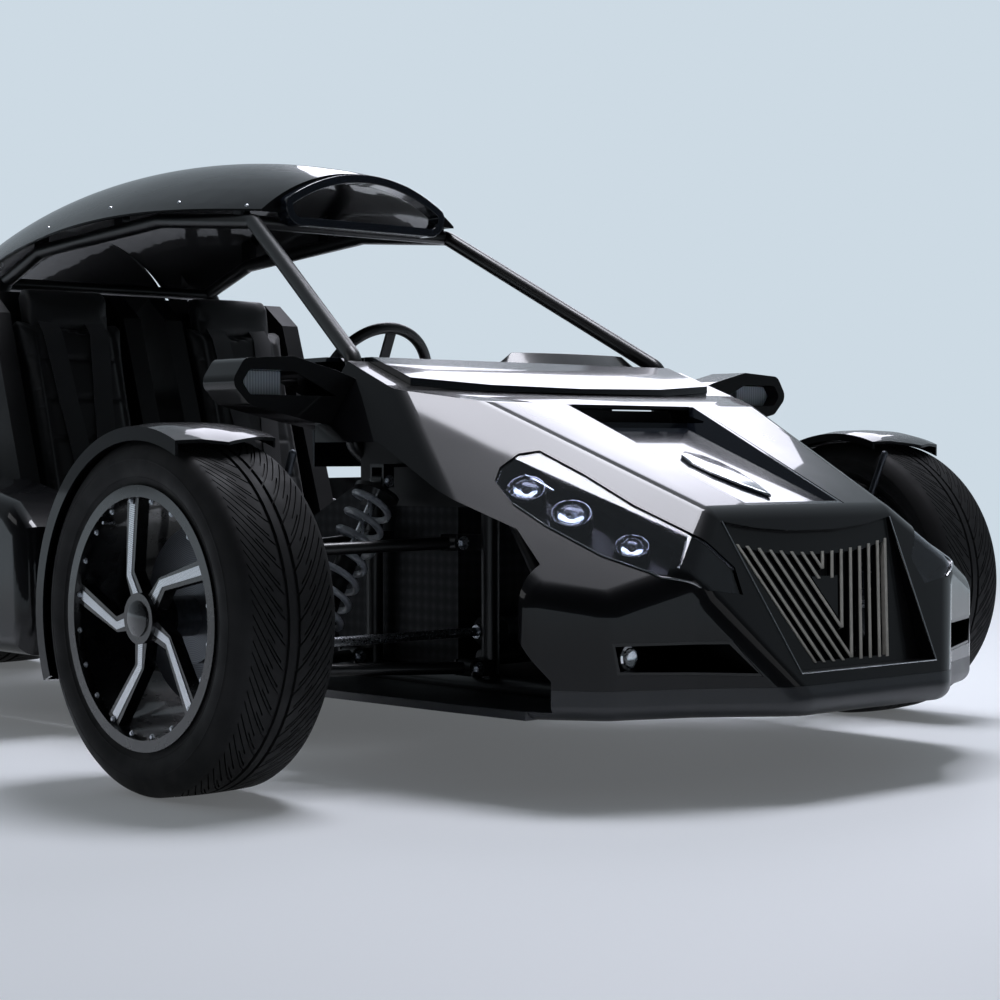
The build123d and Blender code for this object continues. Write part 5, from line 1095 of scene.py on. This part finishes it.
class CAR_OT_cabin(bpy.types.Operator):
    """Dress the steering wheel and make the harnesses, dials, switches and pedals"""
    bl_idname = "car.cabin"
    bl_label = "Cabin"

    def execute(self, context):
        dressed("steering_wheel", "leather", 40.0)
        self.harness(context.scene.car_cabin.strap)
        self.controls()
        return {"FINISHED"}

    def harness(self, width):
        """Straps laid over the pads, with their buckles."""
        pads = surface_of(*(bpy.data.objects[name] for name in ("seat_base_left", "seat_back_left")))
        straps = bmesh.new()
        buckles = bmesh.new()
        back_way = Vector((0.0, 1.0, -0.31)).normalized()
        lines = []
        for offset in (-SHOULDER_STRAP, SHOULDER_STRAP):
            line = [spot(SEAT_X + offset, 1560, 915), spot(SEAT_X + offset, 1500, 925)]
            for step in range(13):
                share = step / 12
                x = SEAT_X + offset * (1 - 0.75 * share)
                z = 868 - share * 510
                place = dropped(pads, spot(x, 1100, z + 80), back_way, 0.004)
                if place is not None:
                    line.append(place)
            lines.append(line)
        for way in (-1, 1):
            line = [spot(SEAT_X + way * 150, 1262, 338)]
            for step in range(7):
                x = SEAT_X + way * (135 - step * 19)
                place = dropped(pads, spot(x, 1240 - step * 8, 480), (0, 0, -1), 0.004)
                if place is not None:
                    line.append(place)
            lines.append(line)
        for line in lines:
            across = Vector((1.0, 0.0, 0.0)) if abs(line[-1].x - line[0].x) < 0.1 else Vector((0.0, 1.0, 0.1))
            step = across.normalized() * width
            verts = [straps.verts.new(point - step / 2) for point in line]
            edges = [straps.edges.new(pair) for pair in zip(verts, verts[1:])]
            swept = bmesh.ops.extrude_edge_only(straps, edges=edges)["geom"]
            moved = [item for item in swept if isinstance(item, bmesh.types.BMVert)]
            bmesh.ops.translate(straps, verts=moved, vec=step)
        bmesh.ops.recalc_face_normals(straps, faces=straps.faces)
        bmesh.ops.solidify(straps, geom=straps.faces[:], thickness=0.002)
        centre = dropped(pads, spot(SEAT_X, 1190, 480), (0, 0, -1), 0.006)
        plane = Matrix.Translation(centre)
        plate(buckles, [(-0.028, -0.03), (0.028, -0.03), (0.032, 0.02), (0.02, 0.034), (-0.02, 0.034),
                        (-0.032, 0.02)], plane, 0.016, 0.003)
        for mesh in (straps, buckles):
            mirrored(mesh)
        add_piece(straps, "harness_straps", "webbing", "seat_cushions")
        add_piece(buckles, "harness_buckles", "zinc", "seat_cushions")

    def controls(self):
        """Two dials and a row of switches on the fascia, and the pedals."""
        rings = bmesh.new()
        faces = bmesh.new()
        for x, z in DIALS:
            centre = spot(x, FASCIA_Y, z)
            lathe(rings, [(0.0, 0.040), (0.0, 0.046), (0.008, 0.045), (0.010, 0.041), (0.006, 0.040)], centre,
                  (0, 1, 0), 48)
            hoop(faces, 0.0, 0.002, 0.0, 0.0405, centre, (0, 1, 0), 48)
            for index in range(9):
                angle = math.radians(-120 + index * 30)
                way = Vector((math.sin(angle), 0.0, math.cos(angle)))
                mark = centre + Vector((0, 0.0022, 0))
                drum(rings, mark + way * 0.030, mark + way * 0.037, 0.0007, segments=6)
            pivot = centre + Vector((0, 0.0035, 0))
            drum(rings, pivot, pivot + Vector((0.016, 0, 0.026)), 0.0012, 0.0004, 8)
        for x, z in SWITCHES:
            centre = spot(x, FASCIA_Y, z)
            drum(rings, centre, centre + Vector((0, 0.005, 0)), 0.008, segments=6)
            drum(rings, centre, centre + Vector((0, 0.020, 0.008)), 0.0026, 0.0036, 12)
        pedals = bmesh.new()
        for x in PEDALS:
            block(pedals, (x - 24, -12, 232), (x + 24, -4, 296), 0.002)
            wire(pedals, [spot(x, -52, 420), spot(x, -30, 400), spot(x, -6, 290)], 0.006, 2)
        add_piece(rings, "dial_rings", "bright", "dash_cowl")
        add_piece(faces, "dial_faces", "abs", "dash_cowl")
        add_piece(pedals, "pedals", "casting", "floor_pan")


# Chain path in mm: each sprocket's middle (y, z) and the radius of the chain's pins round it
CHAIN_SMALL = ((1795.0, 330.0), 47.5)
CHAIN_BIG = ((2286.0, 331.9), 111.5)
CHAIN_X = 160.0
LINK_PITCH = 15.875


def chain_runs():
    """Lean of the chain's straight runs, their length, and its wraps round the big and the small sprocket."""
    (y0, z0), small = CHAIN_SMALL
    (y1, z1), big = CHAIN_BIG
    span = math.hypot(y1 - y0, z1 - z0)
    lean = math.asin((big - small) / span)
    straight = math.sqrt(span ** 2 - (big - small) ** 2)
    return lean, straight, big * (math.pi + 2 * lean), small * (math.pi - 2 * lean)


def chain_place(run):
    """Place (y, z) and heading of the chain at a run along its loop, all in mm."""
    (y0, z0), small = CHAIN_SMALL
    (y1, z1), big = CHAIN_BIG
    tilt = math.atan2(z1 - z0, y1 - y0)
    lean, straight, wrap_big, wrap_small = chain_runs()
    run %= 2 * straight + wrap_big + wrap_small
    top = tilt + math.pi / 2 + lean
    if run < straight:
        heading = tilt + lean
        return (y0 + small * math.cos(top) + run * math.cos(heading),
                z0 + small * math.sin(top) + run * math.sin(heading), heading)
    run -= straight
    if run < wrap_big:
        angle = top - run / big
        return y1 + big * math.cos(angle), z1 + big * math.sin(angle), angle - math.pi / 2
    run -= wrap_big
    low = tilt - math.pi / 2 - lean
    if run < straight:
        heading = tilt - lean + math.pi
        return (y1 + big * math.cos(low) + run * math.cos(heading),
                z1 + big * math.sin(low) + run * math.sin(heading), heading)
    angle = low - (run - straight) / small
    return y0 + small * math.cos(angle), z0 + small * math.sin(angle), angle - math.pi / 2


class CAR_OT_drive(bpy.types.Operator):
    """Make the chain from its links and rollers"""
    bl_idname = "car.drive"
    bl_label = "Drive"

    def execute(self, context):
        chain = bmesh.new()
        _, straight, wrap_big, wrap_small = chain_runs()
        length = 2 * straight + wrap_big + wrap_small
        links = 2 * round(length / LINK_PITCH / 2)
        for index in range(links):
            (y0, z0, _), (y1, z1, _) = (chain_place((index + step) * length / links) for step in (0, 1))
            first, second = spot(CHAIN_X, y0, z0), spot(CHAIN_X, y1, z1)
            drum(chain, first - Vector((0.004, 0, 0)), first + Vector((0.004, 0, 0)), 0.0050, segments=8)
            run = second - first
            plane = Matrix.Identity(4)
            plane.col[0][:3] = run.normalized()
            plane.col[1][:3] = Vector((1, 0, 0)).cross(run.normalized())
            plane.col[2][:3] = (1, 0, 0)
            plane.translation = (first + second) / 2
            half = run.length / 2
            outline = [(-half - 0.004, -0.005), (-half - 0.006, 0.0), (-half - 0.004, 0.005), (0.0, 0.004),
                       (half + 0.004, 0.005), (half + 0.006, 0.0), (half + 0.004, -0.005), (0.0, -0.004)]
            out = 0.0058 if index % 2 else 0.0042
            for place in (-out - 0.0013, out):
                plate(chain, outline, plane @ Matrix.Translation((0, 0, place)), 0.0013)
        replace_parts(add_piece(chain, "chain_links", "chain", "drive_chain"), "drive_chain")
        return {"FINISHED"}


# Camera solved on the photo: place in metres, yaw and pitch
CAMERA_PLACE = (-2.9347, -4.0456, 0.5614)
CAMERA_YAW = math.radians(42.027)
CAMERA_PITCH = math.radians(-1.1645)
# Soft lamps: name, place, target, way of its length, size, radiance at its face, colour
LAMPS = (
    ("rear_softbox", (3.9, 2.6, 3.9), (0.0, -1.4, 0.6), (0.72, -0.70, 0.0), (3.2, 3.0), 2.6,
     (0.88, 0.88, 1.0)),
    ("top_softbox", (0.94, -0.51, 5.0), (0.94, -0.51, 0.0), (0.37, -0.93, 0.0), (2.6, 1.6), 12.0,
     (0.90, 0.91, 1.0)),
    ("side_softbox", (-4.8, 1.6, 3.2), (-0.6, -0.4, 0.6), (0.43, 0.90, 0.0), (3.0, 1.4), 1.0,
     (0.95, 0.97, 1.0)),
    ("front_softbox", (1.2, -6.0, 2.6), (0.0, -0.6, 0.4), (0.98, 0.22, 0.0), (2.4, 1.0), 0.4,
     (0.95, 0.97, 1.0)),
)
# Lamp power in watts for a square metre of unit radiance
POWER = 4.0
# Floor, in metres: its radius, where it begins to fade and where it has faded, and its glow before that
FLOOR_RADIUS = 30.0
FADE_FROM = 2.6
FADE_TO = 7.0
FLOOR_GLOW = 0.12
# Brightness of the studio in front of the car and behind it
SKY_DARK = 0.05
SKY_BRIGHT = 0.45


class CAR_OT_stage(bpy.types.Operator):
    """Make the studio floor, backdrop, lamps and camera"""
    bl_idname = "car.stage"
    bl_label = "Stage"

    def execute(self, context):
        settings = context.scene.car_stage
        self.floor(settings)
        self.sky(settings)
        for name, place, target, along, size, radiance, color in LAMPS:
            data = bpy.data.lights.new(name, "AREA")
            data.shape = "RECTANGLE"
            data.size, data.size_y = size
            data.energy = radiance * POWER * size[0] * size[1]
            data.color = color
            lamp = bpy.data.objects.new(name, data)
            lamp.location = place
            back = (Vector(place) - Vector(target)).normalized()
            along = (Vector(along) - back * back.dot(Vector(along))).normalized()
            lamp.rotation_euler = Matrix((along, back.cross(along), back)).transposed().to_euler()
            context.scene.collection.objects.link(lamp)
        data = bpy.data.cameras.new("camera")
        data.lens = settings.lens
        data.sensor_width = 36.0
        data.clip_end = 100.0
        camera = bpy.data.objects.new("camera", data)
        camera.location = CAMERA_PLACE
        camera.rotation_euler = (math.pi / 2 + CAMERA_PITCH, 0.0, -CAMERA_YAW)
        context.scene.collection.objects.link(camera)
        context.scene.camera = camera
        context.scene.view_settings.view_transform = "Standard"
        return {"FINISHED"}

    def floor(self, settings):
        """A round floor whose rim fades into the backdrop's colour for the eye, for metal and for glass."""
        mesh = bmesh.new()
        bmesh.ops.create_circle(mesh, cap_ends=True, segments=96, radius=FLOOR_RADIUS)
        data = bpy.data.meshes.new("studio_floor")
        mesh.to_mesh(data)
        mesh.free()
        floor = bpy.data.objects.new("studio_floor", data)
        bpy.context.scene.collection.objects.link(floor)
        material = bpy.data.materials.new("painted_studio_floor")
        material.use_nodes = True
        tree = material.node_tree
        shader = tree.nodes["Principled BSDF"]
        shader.inputs["Base Color"].default_value = settings.floor_color
        shader.inputs["Specular IOR Level"].default_value = 0.2
        place = add_node(tree, "ShaderNodeTexCoord").outputs["Object"]
        cloud = add_node(tree, "ShaderNodeTexNoise", inputs={"Vector": place, "Scale": 0.4}).outputs["Fac"]
        gloss = add_node(tree, "ShaderNodeMapRange", inputs={"Value": cloud, "To Min": 0.5, "To Max": 0.65})
        tree.links.new(gloss.outputs["Result"], shader.inputs["Roughness"])
        far = add_node(tree, "ShaderNodeVectorMath", {"operation": "LENGTH"}, {0: place}).outputs["Value"]
        fade = add_node(tree, "ShaderNodeMapRange", {"interpolation_type": "SMOOTHSTEP"}, {
            "Value": far, "From Min": FADE_FROM, "From Max": FADE_TO, "To Min": FLOOR_GLOW}).outputs["Result"]
        tone = add_node(tree, "ShaderNodeMix", {"data_type": "RGBA"}, {
            0: fade, 6: settings.floor_color, 7: settings.backdrop_color}).outputs[2]
        rays = add_node(tree, "ShaderNodeLightPath").outputs
        seen = add_node(tree, "ShaderNodeMath", {"operation": "ADD"}, {
            0: rays["Is Camera Ray"], 1: rays["Is Glossy Ray"]}).outputs["Value"]
        shown = add_node(tree, "ShaderNodeMath", {"operation": "ADD", "use_clamp": True}, {
            0: seen, 1: rays["Is Transmission Ray"]}).outputs["Value"]
        share = add_node(tree, "ShaderNodeMath", {"operation": "MULTIPLY"}, {
            0: fade, 1: shown}).outputs["Value"]
        wall = add_node(tree, "ShaderNodeEmission", inputs={"Color": tone, "Strength": 1.0})
        both = add_node(tree, "ShaderNodeMixShader", inputs={
            0: share, 1: shader.outputs["BSDF"], 2: wall.outputs["Emission"]})
        tree.links.new(both.outputs["Shader"], tree.nodes["Material Output"].inputs["Surface"])
        data.materials.append(material)

    def sky(self, settings):
        """A studio that is pale behind the car and dim overhead in front of it."""
        world = bpy.data.worlds.new("studio")
        bpy.context.scene.world = world
        world.use_nodes = True
        tree = world.node_tree
        background = tree.nodes["Background"]
        way = add_node(tree, "ShaderNodeTexCoord").outputs["Generated"]
        behind = Vector((math.sin(CAMERA_YAW), math.cos(CAMERA_YAW), 0.15)).normalized()
        facing = add_node(tree, "ShaderNodeVectorMath", {"operation": "DOT_PRODUCT"}, {
            0: way, 1: behind}).outputs["Value"]
        bright = add_node(tree, "ShaderNodeMapRange", {"interpolation_type": "SMOOTHSTEP"}, {
            "Value": facing, "From Min": -0.2, "From Max": 0.75, "To Min": SKY_DARK, "To Max": SKY_BRIGHT})
        rays = add_node(tree, "ShaderNodeLightPath").outputs
        level = add_node(tree, "ShaderNodeMix", {"data_type": "FLOAT"}, {
            0: rays["Is Camera Ray"], 2: bright.outputs["Result"], 3: 1.0})
        tree.links.new(level.outputs[0], background.inputs["Strength"])
        background.inputs["Color"].default_value = settings.backdrop_color


STEPS = (CAR_OT_panels, CAR_OT_running_gear, CAR_OT_dampers, CAR_OT_tyres, CAR_OT_wheels, CAR_OT_grille,
         CAR_OT_lamps, CAR_OT_seats, CAR_OT_cabin, CAR_OT_drive, CAR_OT_stage)
GROUPS = (("car_tyres", CarTyreSettings), ("car_body", CarBodySettings), ("car_cabin", CarCabinSettings),
          ("car_stage", CarStageSettings))


class CAR_PT_panel(bpy.types.Panel):
    """Sizes and steps of the car"""
    bl_idname = "CAR_PT_panel"
    bl_label = "Three wheeled car"
    bl_space_type = "VIEW_3D"
    bl_region_type = "UI"
    bl_category = "Car"

    def draw(self, context):
        for name, group in GROUPS:
            settings = getattr(context.scene, name)
            for field in group.__annotations__:
                self.layout.prop(settings, field)
        for step in STEPS:
            self.layout.operator(step.bl_idname)


def register():
    """Registers the classes and puts the settings on the scene."""
    for name, group in GROUPS:
        bpy.utils.register_class(group)
        setattr(bpy.types.Scene, name, PointerProperty(type=group))
    for step in STEPS:
        bpy.utils.register_class(step)
    bpy.utils.register_class(CAR_PT_panel)


def unregister():
    """Takes the settings and classes away again."""
    bpy.utils.unregister_class(CAR_PT_panel)
    for step in reversed(STEPS):
        bpy.utils.unregister_class(step)
    for name, group in reversed(GROUPS):
        delattr(bpy.types.Scene, name)
        bpy.utils.unregister_class(group)


def main():
    """Makes every piece in order."""
    register()
    for step in STEPS:
        group, name = step.bl_idname.split(".")
        getattr(getattr(bpy.ops, group), name)()


if __name__ == "__main__":
    main()
